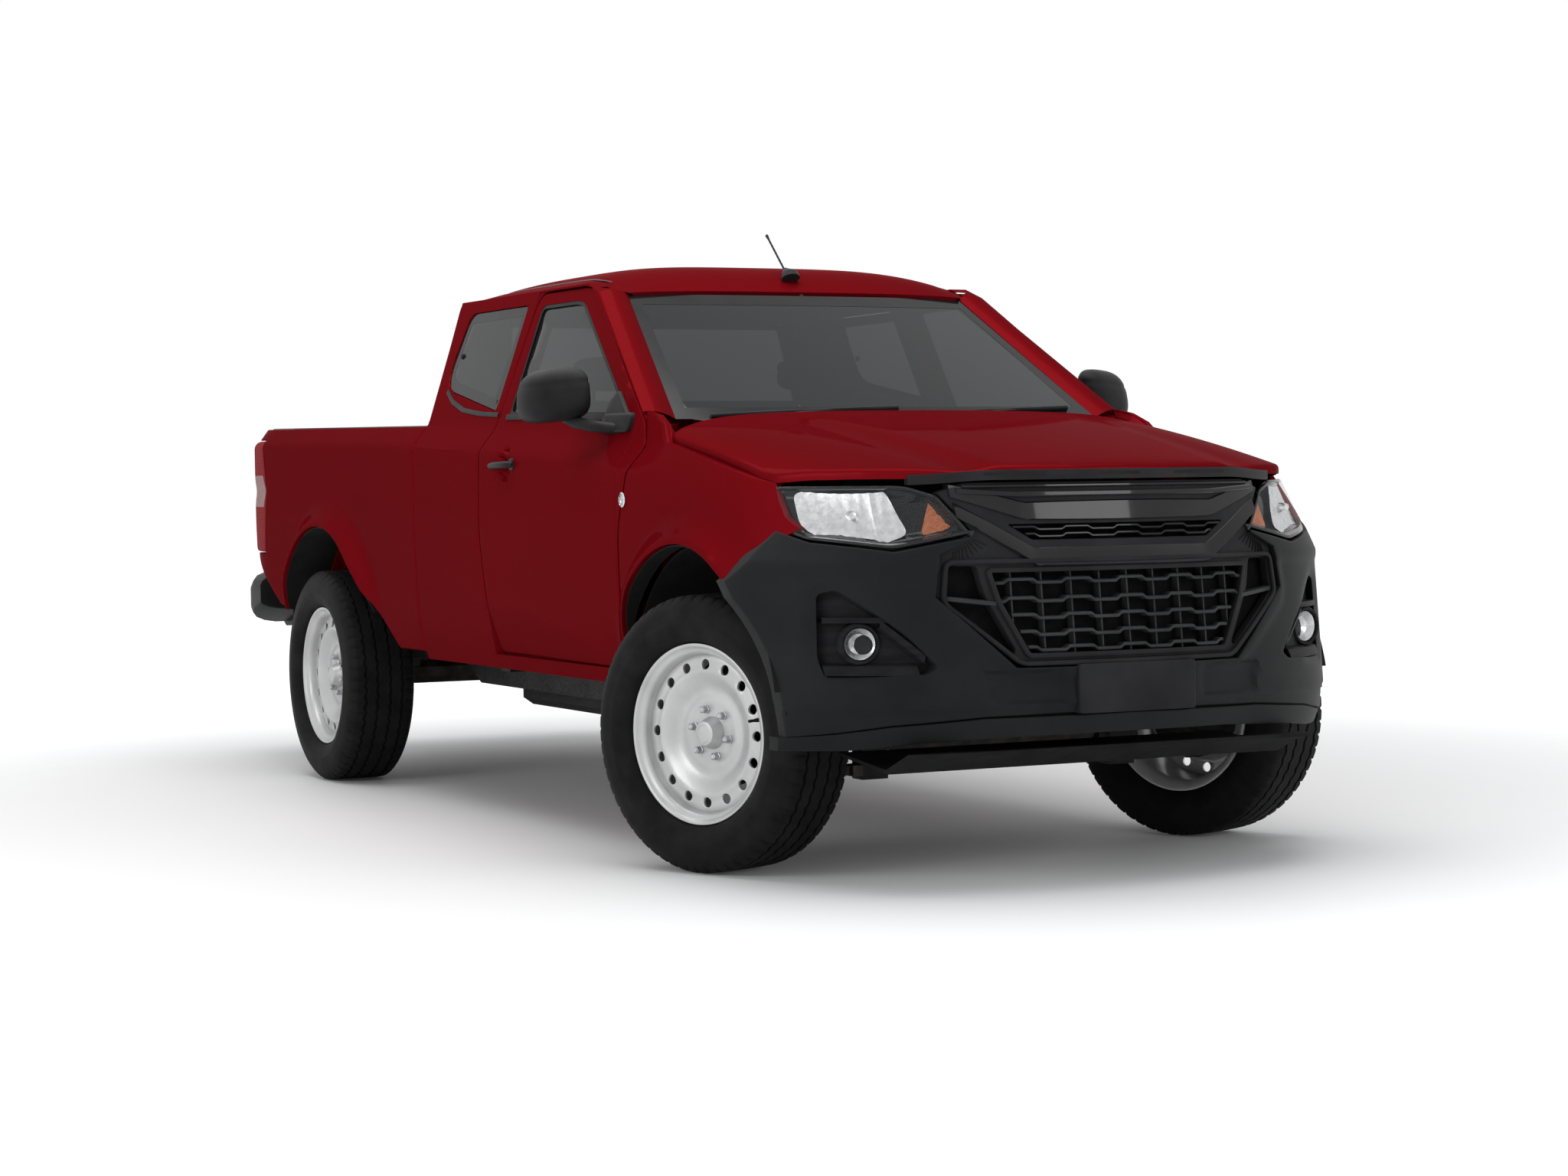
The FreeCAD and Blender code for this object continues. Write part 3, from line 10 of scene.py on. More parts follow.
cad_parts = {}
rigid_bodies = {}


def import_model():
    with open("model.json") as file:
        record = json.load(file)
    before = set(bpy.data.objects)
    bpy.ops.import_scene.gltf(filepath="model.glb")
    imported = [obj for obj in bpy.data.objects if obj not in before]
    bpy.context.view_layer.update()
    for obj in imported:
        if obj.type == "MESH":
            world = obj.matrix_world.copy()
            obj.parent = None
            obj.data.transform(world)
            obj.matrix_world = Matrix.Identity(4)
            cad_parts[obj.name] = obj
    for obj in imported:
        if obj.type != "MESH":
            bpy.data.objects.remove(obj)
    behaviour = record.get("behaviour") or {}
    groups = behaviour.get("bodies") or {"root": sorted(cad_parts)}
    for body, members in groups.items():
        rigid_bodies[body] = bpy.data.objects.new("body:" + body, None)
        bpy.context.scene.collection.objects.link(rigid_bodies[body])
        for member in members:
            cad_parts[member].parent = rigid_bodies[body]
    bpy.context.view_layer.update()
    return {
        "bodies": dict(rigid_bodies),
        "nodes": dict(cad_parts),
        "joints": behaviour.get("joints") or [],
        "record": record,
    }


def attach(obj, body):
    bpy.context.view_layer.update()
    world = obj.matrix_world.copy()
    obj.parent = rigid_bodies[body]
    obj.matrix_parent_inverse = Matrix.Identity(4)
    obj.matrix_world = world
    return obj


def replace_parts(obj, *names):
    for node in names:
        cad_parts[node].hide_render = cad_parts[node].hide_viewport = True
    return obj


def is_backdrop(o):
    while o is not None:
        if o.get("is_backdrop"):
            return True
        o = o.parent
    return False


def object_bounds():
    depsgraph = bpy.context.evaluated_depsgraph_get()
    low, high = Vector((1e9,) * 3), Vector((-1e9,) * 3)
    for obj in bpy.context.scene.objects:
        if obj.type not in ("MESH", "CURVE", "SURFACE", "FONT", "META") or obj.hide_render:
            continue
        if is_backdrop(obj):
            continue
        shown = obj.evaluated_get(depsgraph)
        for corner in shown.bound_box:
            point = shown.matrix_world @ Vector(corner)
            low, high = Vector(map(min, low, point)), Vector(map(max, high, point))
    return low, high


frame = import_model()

# ---------------------------------------------------------------- studio
# A pale studio floor that runs white into the distance, one wide soft box overhead, two softer ones
# off the right side and the front, and the camera at low chest height off the right front corner.
camera_place = (9.3618, -4.3916, 1.0644)
heading, pitch, tilt = np.radians([153.40724, -2.01984, -0.80652])
sight = Vector((math.cos(pitch) * math.cos(heading), math.cos(pitch) * math.sin(heading), math.sin(pitch)))
level_right = sight.cross(Vector((0, 0, 1))).normalized()
level_up = level_right.cross(sight)
right = level_right * math.cos(tilt) + level_up * math.sin(tilt)
up = level_up * math.cos(tilt) - level_right * math.sin(tilt)
camera = bpy.data.objects.new("camera", bpy.data.cameras.new("camera"))
camera.data.sensor_width = 36.0
camera.data.lens = 70.953
camera.matrix_world = Matrix.Translation(camera_place) @ Matrix((right, up, -sight)).transposed().to_4x4()
bpy.context.collection.objects.link(camera)
bpy.context.scene.camera = camera
bpy.context.scene.view_settings.view_transform = "Standard"


def set_inputs(node, inputs):
    """A node with the given values set on its inputs."""
    for name, value in inputs.items():
        node.inputs[name].default_value = value
    return node


def new_node(nodes, kind, inputs=None, **settings):
    """A new node of a kind, with its settings and then the values on its inputs."""
    node = nodes.new("ShaderNode" + kind)
    for name, value in settings.items():
        setattr(node, name, value)
    return set_inputs(node, inputs or {})


def link_nodes(links, *joins):
    """Links from one node to another, each given as the first node, its output, the second node and its input."""
    for source, output, target, place in joins:
        links.new(source.outputs[output], target.inputs[place])


world = bpy.data.worlds.new("studio")
world.use_nodes = True
bpy.context.scene.world = world
sky = world.node_tree
sky.nodes.clear()
rays = new_node(sky.nodes, "LightPath")
seen = new_node(sky.nodes, "Math", operation="MAXIMUM")
seen_more = new_node(sky.nodes, "Math", operation="MAXIMUM")
link_nodes(sky.links, (rays, "Is Camera Ray", seen, 0), (rays, "Is Glossy Ray", seen, 1), (seen, 0, seen_more, 0),
                      (rays, "Is Transmission Ray", seen_more, 1))
dim = new_node(sky.nodes, "Background", {"Color": (0.94, 0.97, 1, 1), "Strength": 0.36})
bright = new_node(sky.nodes, "Background", {"Color": (1, 1, 1, 1), "Strength": 1.0})
either = new_node(sky.nodes, "MixShader")
sky_out = new_node(sky.nodes, "OutputWorld")
link_nodes(sky.links, (seen_more, 0, either, 0), (dim, 0, either, 1), (bright, 0, either, 2), (either, 0, sky_out, 0))

SOFT_BOXES = [
    # name, place, aim, width, height, watts
    ("overhead_box", (0.4, -0.6, 5.2), (0.0, 0.0, 0.0), 7.0, 4.0, 260.0),
    ("right_box", (2.5, -7.0, 3.2), (0.2, 0.0, 0.6), 4.0, 2.5, 120.0),
    ("front_box", (8.5, 2.5, 3.0), (1.5, 0.0, 0.7), 3.0, 2.0, 90.0),
]
for name, place, aim, width, height, watts in SOFT_BOXES:
    lamp = bpy.data.lights.new(name, "AREA")
    lamp.shape, lamp.size, lamp.size_y, lamp.energy = "RECTANGLE", width, height, watts
    box = bpy.data.objects.new(name, lamp)
    box.location = place
    box.rotation_euler = (Vector(aim) - Vector(place)).to_track_quat("-Z", "Y").to_euler()
    bpy.context.collection.objects.link(box)


def places(x, y, z):
    """Points from their three coordinates, each an array or one number for all."""
    return np.stack(np.broadcast_arrays(x, y, z), axis=-1)


def lattice(points, wrap=False):
    """A grid of places as four-cornered faces. Rows run along the first index, and with wrap the last column
    joins the first."""
    points = np.asarray(points)
    rows, columns = points.shape[:2]
    index = np.arange(rows * columns).reshape(rows, columns)
    if wrap:
        index = np.concatenate([index, index[:, :1]], axis=1)
    corners = [index[:-1, :-1], index[:-1, 1:], index[1:, 1:], index[1:, :-1]]
    return points.reshape(-1, 3), np.stack(corners, axis=-1).reshape(-1, 4)


def mesh_object(name, surfaces, finish, sharp=34.0, recalculate=True):
    """One mesh from several surfaces: equal points joined, faces turned outwards, edges over an angle kept sharp."""
    starts = np.cumsum([0] + [len(points) for points, _ in surfaces])
    points = np.concatenate([points for points, _ in surfaces])
    faces = [face for start, (_, group) in zip(starts, surfaces) for face in (np.asarray(group) + start).tolist()]
    mesh = bpy.data.meshes.new(name)
    mesh.from_pydata(points.tolist(), [], faces)
    work = bmesh.new()
    work.from_mesh(mesh)
    bmesh.ops.remove_doubles(work, verts=work.verts, dist=2e-5)
    bmesh.ops.dissolve_degenerate(work, edges=work.edges, dist=1e-6)
    if recalculate:
        bmesh.ops.recalc_face_normals(work, faces=work.faces)
    work.to_mesh(mesh)
    work.free()
    mesh.polygons.foreach_set("use_smooth", np.ones(len(mesh.polygons), dtype=bool))
    mesh.set_sharp_from_angle(angle=math.radians(sharp))
    mesh.materials.append(finish)
    item = bpy.data.objects.new(name, mesh)
    bpy.context.collection.objects.link(item)
    return item


def wired(name):
    """An empty node material with its output and one principled shader."""
    material = bpy.data.materials.new(name)
    material.use_nodes = True
    nodes, links = material.node_tree.nodes, material.node_tree.links
    nodes.clear()
    shader = new_node(nodes, "BsdfPrincipled")
    out = new_node(nodes, "OutputMaterial")
    links.new(shader.outputs[0], out.inputs[0])
    return material, nodes, links, shader


floor_finish, nodes, links, shader = wired("studio_floor")
set_inputs(shader, {"Base Color": (0.80, 0.80, 0.80, 1), "Roughness": 0.62})
place = new_node(nodes, "TexCoord")
distance = new_node(nodes, "VectorMath", operation="LENGTH")
reach = new_node(nodes, "MapRange", {"From Min": 1.5, "From Max": 6.5, "To Max": 0.75},
                        interpolation_type="SMOOTHSTEP")
cloud = new_node(nodes, "TexNoise", {"Scale": 0.6})
softly = new_node(nodes, "Math", {1: 0.02}, operation="MULTIPLY_ADD")
link_nodes(links, (place, "Object", distance, 0), (place, "Object", cloud, "Vector"),
                  (distance, "Value", reach, "Value"), (cloud, "Fac", softly, 0), (reach, "Result", softly, 2))
set_inputs(shader, {"Emission Color": (1, 1, 1, 1)})
links.new(softly.outputs[0], shader.inputs["Emission Strength"])
span = np.linspace(-60, 60, 13)
ground = places(*np.meshgrid(span, span, indexing="ij"), -0.001)
floor = mesh_object("floor", [lattice(ground)], floor_finish, recalculate=False)
floor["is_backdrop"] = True


# ---------------------------------------------------------------- chassis frame and running gear
# The ladder frame is two welded box rails in black cavity paint; axle, springs and arms are cast and
# pressed steel, the tank is moulded plastic. They are bolted up under the cab and bed.
def two_tone(nodes, colour, other, low=0.0, high=1.0):
    """A colour ramp from one colour at low to another at high."""
    node = new_node(nodes, "ValToRGB")
    for stop, shade, position in zip(node.color_ramp.elements, (colour, other), (low, high)):
        stop.color, stop.position = (*shade, 1), position
    return node


def finish(name, colour, other, scale, rough, bump=0.0, grain=200.0, metal=0.0, coat=0.0, stretch=(1, 1, 1),
           sheen=0.12):
    """A finish whose colour drifts between two shades in clouds of the given scale, while a finer grain changes
    its gloss between two values and lifts the surface by the bump."""
    material, nodes, links, shader = wired(name)
    place = new_node(nodes, "TexCoord")
    aligned = new_node(nodes, "Mapping", {"Scale": stretch})
    clouds = new_node(nodes, "TexNoise", {"Scale": scale, "Detail": 4.0})
    fine = new_node(nodes, "TexNoise", {"Scale": grain, "Detail": 2.0})
    shades = two_tone(nodes, colour, other, 0.36, 0.68)
    gloss = new_node(nodes, "MapRange", {"From Min": 0.3, "From Max": 0.7, "To Min": rough[0], "To Max": rough[1]})
    links.new(place.outputs["Object"], aligned.inputs["Vector"])
    for texture in (clouds, fine):
        links.new(aligned.outputs["Vector"], texture.inputs["Vector"])
    link_nodes(links, (clouds, "Fac", shades, "Fac"), (shades, "Color", shader, "Base Color"),
                      (fine, "Fac", gloss, "Value"), (gloss, "Result", shader, "Roughness"))
    set_inputs(shader, {"Metallic": metal, "Specular IOR Level": sheen,
                        "Specular Tint": (0.5, 0.5, 0.52, 1) if metal < 0.5 else (1, 1, 1, 1), "Coat Weight": coat,
                        "Coat Roughness": 0.05})
    if bump:
        relief = new_node(nodes, "Bump", {"Strength": bump, "Distance": 0.001})
        link_nodes(links, (fine, "Fac", relief, "Height"), (relief, "Normal", shader, "Normal"))
    return material


def wear(node, material):
    """A node of the frame takes this finish in each of its material slots."""
    item = frame["nodes"][node]
    if not item.material_slots:
        item.data.materials.append(material)
    for place in item.material_slots:
        place.material = material


cavity_paint = finish("cavity_paint", (0.012, 0.012, 0.013), (0.03, 0.028, 0.026), 7.0, (0.42, 0.6), 0.25, 120.0)
cast_iron = finish("cast_iron", (0.035, 0.034, 0.033), (0.075, 0.068, 0.06), 18.0, (0.5, 0.72), 0.6, 350.0, metal=0.6)
tank_plastic = finish("tank_plastic", (0.014, 0.014, 0.015), (0.022, 0.022, 0.022), 5.0, (0.5, 0.62), 0.3, 420.0)
pipe_steel = finish("pipe_steel", (0.16, 0.15, 0.14), (0.27, 0.23, 0.2), 9.0, (0.34, 0.5), 0.2, 180.0, metal=0.9)
alloy_core = finish("alloy_core", (0.22, 0.22, 0.23), (0.3, 0.3, 0.31), 12.0, (0.4, 0.55), 0.5, 260.0, metal=0.8)
liner_plastic = finish("liner_plastic", (0.01, 0.01, 0.01), (0.016, 0.016, 0.016), 10.0, (0.66, 0.8), 0.5, 300.0)
wear("chassis_frame", cavity_paint)
for node in ("rear_axle", "front_suspension", "knuckle_left", "knuckle_right", "engine_block"):
    wear(node, cast_iron)
wear("fuel_tank", tank_plastic)
wear("exhaust", pipe_steel)
wear("radiator", alloy_core)
for node in ("skid_plate", "wheel_liners"):
    wear(node, liner_plastic)


# ---------------------------------------------------------------- body skin
# The outer panels are thin pressed steel, rolled in at their edges and spot-welded or bolted on.
# They are primed, sprayed a deep metallic red and sealed with a clear coat.
paint, nodes, links, shader = wired("red_metallic")
place = new_node(nodes, "TexCoord")
flake = new_node(nodes, "TexVoronoi", {"Scale": 900.0})
peel = new_node(nodes, "TexNoise", {"Scale": 260.0})
haze = new_node(nodes, "TexNoise", {"Scale": 1.3})
facing = new_node(nodes, "LayerWeight", {"Blend": 0.42})
tint = new_node(nodes, "Mix", {"A": (0.185, 0.004, 0.008, 1), "B": (0.070, 0.0012, 0.003, 1)}, data_type="RGBA")
sparkle = new_node(nodes, "MapRange", {"To Min": 0.30, "To Max": 0.44})
orange_peel = new_node(nodes, "Bump", {"Strength": 0.02, "Distance": 0.0004})
cloudy = new_node(nodes, "Mix", {"B": (0.140, 0.003, 0.006, 1)}, data_type="RGBA")
for texture in (flake, peel, haze):
    links.new(place.outputs["Object"], texture.inputs["Vector"])
link_nodes(links, (facing, "Facing", tint, "Factor"), (haze, "Fac", cloudy, "Factor"), (tint, "Result", cloudy, "A"),
                  (cloudy, "Result", shader, "Base Color"), (flake, "Distance", sparkle, "Value"),
                  (sparkle, "Result", shader, "Roughness"), (peel, "Fac", orange_peel, "Height"),
                  (orange_peel, "Normal", shader, "Normal"))
set_inputs(shader, {"Metallic": 0.30, "Specular IOR Level": 0.0, "Specular Tint": (0.42, 0.030, 0.045, 1),
                    "Coat Weight": 0.02, "Coat Roughness": 0.05})
for node in ("cab_shell", "load_bed"):
    wear(node, paint)


def ramp(rise, radius):
    """Nothing below zero and a straight climb above it, joined by a parabola one radius to either side."""
    return np.where(rise > radius, rise, np.where(rise < -radius, 0.0, (rise + radius) ** 2 / (4 * radius)))


def smoothstep(value, low, high):
    """A rise from 0 at low to 1 at high, level at both ends: 3t squared less 2t cubed."""
    t = np.clip((value - low) / (high - low), 0, 1)
    return t * t * (3 - 2 * t)


def shoulder_z(x):
    """Height of the shoulder crease: a parabola that falls forward."""
    return 1.218 - 0.124 * ((x + 2.1) / 3.47) ** 2


NOSE_TIP, NOSE_LEAN, BUMPER_Z = 2.635, 0.108, 0.480
NOSE_HALF, NOSE_SQUARE, NOSE_SIXTH = 0.930, 0.268, 0.233


def nose_taper(z):
    """Share of the nose's half width at a height: whole up to the bumper's top, then narrowing straight."""
    return 1 - np.maximum(0, z - 0.850) / 1.667


def nose_x(y, z):
    """Skin of the nose: its front leans back away from bumper height, and across it is a parabola bent
    back at the corners by a sixth power of the share of the half width, which narrows above the bumper."""
    share = np.abs(y) / (NOSE_HALF * nose_taper(z))
    return NOSE_TIP - NOSE_LEAN * np.abs(z - BUMPER_Z) - NOSE_SQUARE * share ** 2 - NOSE_SIXTH * share ** 6


def nose_half(x, z):
    """Half width of the nose at a station: the real root of the cubic that nose_x is in the square of the share."""
    p = NOSE_SQUARE / NOSE_SIXTH
    q = np.maximum(NOSE_TIP - NOSE_LEAN * np.abs(z - BUMPER_Z) - x, 0) / NOSE_SIXTH
    root = np.sqrt(q * q / 4 + p ** 3 / 27)
    square = np.cbrt(q / 2 + root) + np.cbrt(q / 2 - root)
    return np.sqrt(np.maximum(square, 0)) * NOSE_HALF * nose_taper(z)


FRONT_ARCH = (1.785, 0.398)
REAR_ARCH = (-1.310, 0.422)
ARCH_RADIUS = 0.495
FLARE_HALF = 0.930
SIDE_HALF, SIDE_TUCK, GLASS_LEAN, RAIL_LEAN = 0.885, 0.040, 0.75, 0.37
SILL_LINE = [(-0.42, 0.725), (-0.305, 0.723), (0.495, 0.677), (1.159, 0.551), (1.40, 0.50)]


def side_y(x, z):
    """Half width of the side skin: tucked in by a fourth power below the crease, leaning in two slopes above it,
    rounded at the tail, met with the nose by a soft minimum, and swelling to a lip at the wheel arches."""
    crease = shoulder_z(x)
    below = np.maximum(crease - z, 0) / (crease - 0.5)
    soft = 0.010 + 0.075 * smoothstep(x, 1.25, 1.75)
    y = SIDE_HALF - SIDE_TUCK * below ** 4 - GLASS_LEAN * ramp(z - crease, soft)
    y = y + RAIL_LEAN * ramp(z - crease - 0.075, 0.02)
    y = y - 0.045 * np.maximum(0, (-2.0 - x) / 0.29) ** 2
    line = np.interp(x, *np.array(SILL_LINE).T)
    on_cab = smoothstep(x, -0.42, -0.30) * (1 - smoothstep(x, 1.15, 1.30))
    y = y - on_cab * 0.10 * np.clip(ramp(line - z, 0.012), 0, 0.16)
    scallop = np.exp(-((x + 0.30) / 0.09) ** 2 - ((z - 0.60 - 0.9 * (x + 0.30)) / 0.05) ** 2)
    y = y - 0.006 * scallop * on_cab
    nose = nose_half(x, z)
    mix = np.maximum(0, 0.060 - np.abs(y - nose)) / 0.060
    y = np.where(x > 1.255, np.minimum(y, nose) - mix ** 2 * 0.015, y)
    for (arch_x, arch_z), low, high in ((FRONT_ARCH, 40, 150), (REAR_ARCH, 30, 160)):
        away = np.hypot(x - arch_x, z - arch_z) - ARCH_RADIUS
        angle = np.degrees(np.arctan2(z - arch_z, x - arch_x))
        present = smoothstep(angle, low - 18, low + 22) * (1 - smoothstep(angle, high - 22, high + 18))
        swell = (1 - np.clip((away - 0.016) / 0.085, 0, 1)) ** 1.7 * present
        y = np.where((away > -0.02) & (away < 0.12), y + (FLARE_HALF - y) * swell, y)
    return y


def side_skin(x, z, depth):
    """The left side skin, set in by a depth."""
    return places(x, side_y(x, z) - depth, z)


def rounded(corners, reach, steps=6):
    """An outline whose corners become parabolas that start and end the given reach away from them."""
    corners = np.array(corners, float)
    before, after = np.roll(corners, 1, 0) - corners, np.roll(corners, -1, 0) - corners
    lengths = [np.linalg.norm(way, axis=1) for way in (before, after)]
    start, end = (corners + way * (np.minimum(reach, 0.45 * length) / length)[:, None]
                  for way, length in zip((before, after), lengths))
    t = np.linspace(0, 1, steps)[None, :, None]
    arc = (1 - t) ** 2 * start[:, None] + 2 * t * (1 - t) * corners[:, None] + t ** 2 * end[:, None]
    return arc.reshape(-1, 2)


def divided(ring, step):
    """A closed ring with points added so that no edge is longer than a step."""
    way = np.roll(ring, -1, 0) - ring
    counts = np.maximum(1, np.ceil(np.linalg.norm(way, axis=1) / step)).astype(int)
    first = np.repeat(np.cumsum(counts) - counts, counts)
    share = (np.arange(counts.sum()) - first) / np.repeat(counts, counts)
    return np.repeat(ring, counts, 0) + np.repeat(way, counts, 0) * share[:, None]


def shifted(ring, distance):
    """A ring moved to its own left by a distance, square to the mean of its two edges at each point."""
    before, after = ring - np.roll(ring, 1, 0), np.roll(ring, -1, 0) - ring
    before, after = (way / np.maximum(np.linalg.norm(way, axis=1, keepdims=True), 1e-9) for way in (before, after))
    along = before + after
    along = along / np.maximum(np.linalg.norm(along, axis=1, keepdims=True), 1e-9)
    square = np.stack([-along[:, 1], along[:, 0]], axis=1)
    spread = np.maximum(np.abs(np.sum(before * along, axis=1)), 0.5)
    return ring + square * (distance / spread)[:, None]


def turning(ring, way=1):
    """The ring running anticlockwise for way 1 and clockwise for -1, by the sign of its area."""
    area = np.sum(ring[:, 0] * np.roll(ring[:, 1], -1) - np.roll(ring[:, 0], -1) * ring[:, 1])
    return ring if area * way > 0 else ring[::-1]


def inside(points, ring):
    """Whether each point is inside a ring, by how many edges a level ray from it crosses."""
    x, y = points[:, 0:1], points[:, 1:2]
    a, b = ring, np.roll(ring, -1, 0)
    rise = np.where(b[:, 1] == a[:, 1], 1, b[:, 1] - a[:, 1])
    cross = a[:, 0] + (y - a[:, 1]) * (b[:, 0] - a[:, 0]) / rise
    return np.sum(((a[:, 1] > y) != (b[:, 1] > y)) & (x < cross), axis=1) % 2 == 1


def filled(rings, grid):
    """Triangles over the first ring less the others: their points and a level grid between them,
    joined by a Delaunay triangulation that keeps the rings' edges, with the grid's cells made square for it."""
    rings = [ring / grid for ring in rings]
    edge = np.concatenate(rings)
    low, high = rings[0].min(0), rings[0].max(0)
    level = np.stack(np.meshgrid(*(np.arange(a + 0.5, b, 1.0) for a, b in zip(low, high))), -1).reshape(-1, 2)

    def covered(points):
        """Whether each point is in the first ring and in none of the others."""
        within = inside(points, rings[0])
        for hole in rings[1:]:
            within &= ~inside(points, hole)
        return within

    level = level[covered(level)]
    gaps = np.min(np.linalg.norm(level[:, None] - edge[None], axis=2), axis=1) if len(level) else np.zeros(0)
    level = level[gaps > 0.5]
    joins, start = [], 0
    for ring in rings:
        joins += [(start + i, start + (i + 1) % len(ring)) for i in range(len(ring))]
        start += len(ring)
    flat = [Vector(place) for place in np.concatenate([edge, level]).tolist()]
    found = delaunay_2d_cdt(flat, joins, [], 0, 1e-7)
    points = np.array([tuple(place) for place in found[0]])
    faces = np.array([face for face in found[2] if len(face) == 3])
    return points * grid, faces[covered(points[faces].mean(axis=1))]


def panel(skin, outline, holes=(), grid=(0.04, 0.012), roll=0.003, depth=0.012, back=False, proud=0.0):
    """A pressed panel: a skin over an outline, its edges and its holes' edges rolled in by a quarter turn and
    carried to a depth, with a second skin there if it has a back. It may stand proud of the skin."""
    grid = np.array(grid)
    rings = [turning(divided(np.array(outline, float) / grid, 0.9) * grid)]
    rings += [turning(divided(np.array(hole, float) / grid, 0.9) * grid, -1) for hole in holes]
    flat, faces = filled([shifted(ring, roll) for ring in rings], grid)
    made = [(skin(*flat.T, -proud), faces)]
    turns = np.radians([0, 30, 60, 90])
    for ring in rings:
        rows = [(roll * (1 - np.sin(t)), roll * (1 - np.cos(t)) - proud) for t in turns] + [(0.0, depth)]
        made.append(lattice([skin(*shifted(ring, way).T, down) for way, down in rows], wrap=True))
    if back:
        flat, faces = filled(rings, grid)
        made.append((skin(*flat.T, depth), faces[:, ::-1]))
    return made


def other_side(surfaces):
    """The same surfaces on the right side of the truck, their faces turned back out."""
    return [(points * (1, -1, 1), faces[:, ::-1]) for points, faces in surfaces]


HANDS = (("left", list), ("right", other_side))


def both_sides(surfaces):
    """Surfaces of the left side and their twins on the right."""
    return surfaces + other_side(surfaces)


def arc(centre, radius, start, end, count=40):
    """Points of a circle's arc between two angles in degrees."""
    a = np.radians(np.linspace(start, end, count))
    return np.stack([centre[0] + radius * np.cos(a), centre[1] + radius * np.sin(a)], axis=1)


# ---------------------------------------------------------------- cab side and roof
# One side pressing runs from the sill round the door opening to the roof rail and the rear quarter,
# with the windscreen pillar ahead of it. The roof is a crowned panel brazed between the two.
DOOR = [(1.300, 0.532), (1.300, 0.930), (1.372, 1.105), (1.390, 1.160), (1.330, 1.232), (0.652, 1.652),
        (0.600, 1.660), (0.232, 1.660), (0.232, 1.272), (0.208, 0.930), (0.250, 0.690), (0.258, 0.532)]
DOOR_REACH = [0.03, 0.05, 0.03, 0.02, 0.02, 0.05, 0.03, 0.06, 0.03, 0.06, 0.06, 0.04]
QUARTER = [(0.185, 1.290), (0.165, 1.630), (-0.330, 1.628), (-0.345, 1.430), (-0.300, 1.372)]
QUARTER_REACH = [0.03, 0.035, 0.05, 0.05, 0.06]
CAB = [(1.290, 0.482), (1.290, 1.240), (1.300, 1.262), (0.700, 1.640), (0.612, 1.671), (-0.4548, 1.671),
       (-0.375, 1.280), (-0.375, 0.482)]
door_ring = rounded(DOOR, DOOR_REACH)
quarter_ring = rounded(QUARTER, QUARTER_REACH)
cab_ring = rounded(CAB, [0.01, 0.002, 0.01, 0.02, 0.02, 0.03, 0.05, 0.02])
door_hole = shifted(turning(door_ring), -0.0055)
cab_side = panel(side_skin, cab_ring, [door_hole, quarter_ring], grid=(0.035, 0.014), roll=0.0015, depth=0.014,
                 proud=0.0012)
t = np.linspace(0, 1, 25)[:, None]
outer_line = side_skin(1.300 - 0.600 * t[:, 0], 1.262 + 0.378 * t[:, 0], -0.0012)
SCREEN_FOOT, SCREEN_HEAD = np.array([1.3222, 0.7050, 1.2400]), np.array([0.7085, 0.5790, 1.6360])
glass_line = SCREEN_FOOT * (1 - t) + SCREEN_HEAD * t
crest_line = outer_line * 0.45 + glass_line * 0.55 + np.array([0.016, 0.016, 0.020])
w = np.linspace(0, 1, 11)[None, :, None]
pillar = (1 - w) ** 2 * outer_line[:, None] + 2 * w * (1 - w) * crest_line[:, None] + w ** 2 * glass_line[:, None]
skirt = [glass_line, glass_line + np.array([-0.012, -0.002, -0.012])]
cab_skin = mesh_object("cab_side_skin", both_sides(cab_side + [lattice(pillar), lattice(skirt)]), paint)
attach(cab_skin, "truck")


def roof_front(x):
    """How far a place is along the roof's front end, where it draws in: 0 at its start and 1 near the windscreen."""
    return np.clip((x - 0.450) / 0.270, 0, 2)


CREST_X, CREST_Z, RAIL_Z = 0.1, 1.748, 1.6724


def roof_z(x, share):
    """Height of the roof: a fourth power of the share of its half width falls from the crest to the rail, and the
    crest falls by the power 4.5 to the windscreen and by 3.8 to the rear."""
    ahead, behind = np.clip((x - CREST_X) / 0.624, 0, 2), np.clip((CREST_X - x) / 0.552, 0, 2)
    crest = CREST_Z - 0.101 * ahead ** 4.5 - 0.066 * behind ** 3.8
    edge = RAIL_Z - 0.034 * roof_front(x) ** 2
    return edge + np.maximum(crest - edge, 0.006) * (1 - share ** 4)


def roof_half(x):
    """Half width of the roof, drawn in by a parabola towards the windscreen."""
    return 0.655 - 0.072 * roof_front(x) ** 2


x, share = np.meshgrid(np.linspace(-0.452, 0.724, 61), np.sin(np.linspace(-1, 1, 61) * math.pi / 2), indexing="ij")
ditch = 0.006 * np.exp(-((np.abs(share) * roof_half(x) - 0.590) / 0.008) ** 4) * smoothstep(-x, -0.66, -0.60)
top = places(x, share * roof_half(x), roof_z(x, share) - ditch)
under = places(x * 0.985, share * (roof_half(x) - 0.05), roof_z(x, share * 0.96) - 0.022)
rim = [[top[k], under[k]] for k in (0, -1)] + [[top[:, k], under[:, k]] for k in (0, -1)]
roof = mesh_object("roof", [lattice(top), lattice(under[::-1])] + [lattice(edge) for edge in rim], paint)
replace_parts(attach(roof, "truck"), "roof_panel")
black_trim = finish("black_trim", (0.014, 0.014, 0.015), (0.024, 0.024, 0.025), 6.0, (0.42, 0.55), 0.15, 600.0)
x = np.linspace(-0.43, 0.655, 50)[:, None]
y = 0.590 + np.linspace(-0.007, 0.007, 5)[None] - 0.072 * roof_front(x) ** 2 * 0.9
strip = places(x, y, roof_z(x, y / roof_half(x)) - 0.0015)
strips = mesh_object("roof_ditch_strips", both_sides([lattice(strip)]), black_trim, recalculate=False)
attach(strips, "truck")


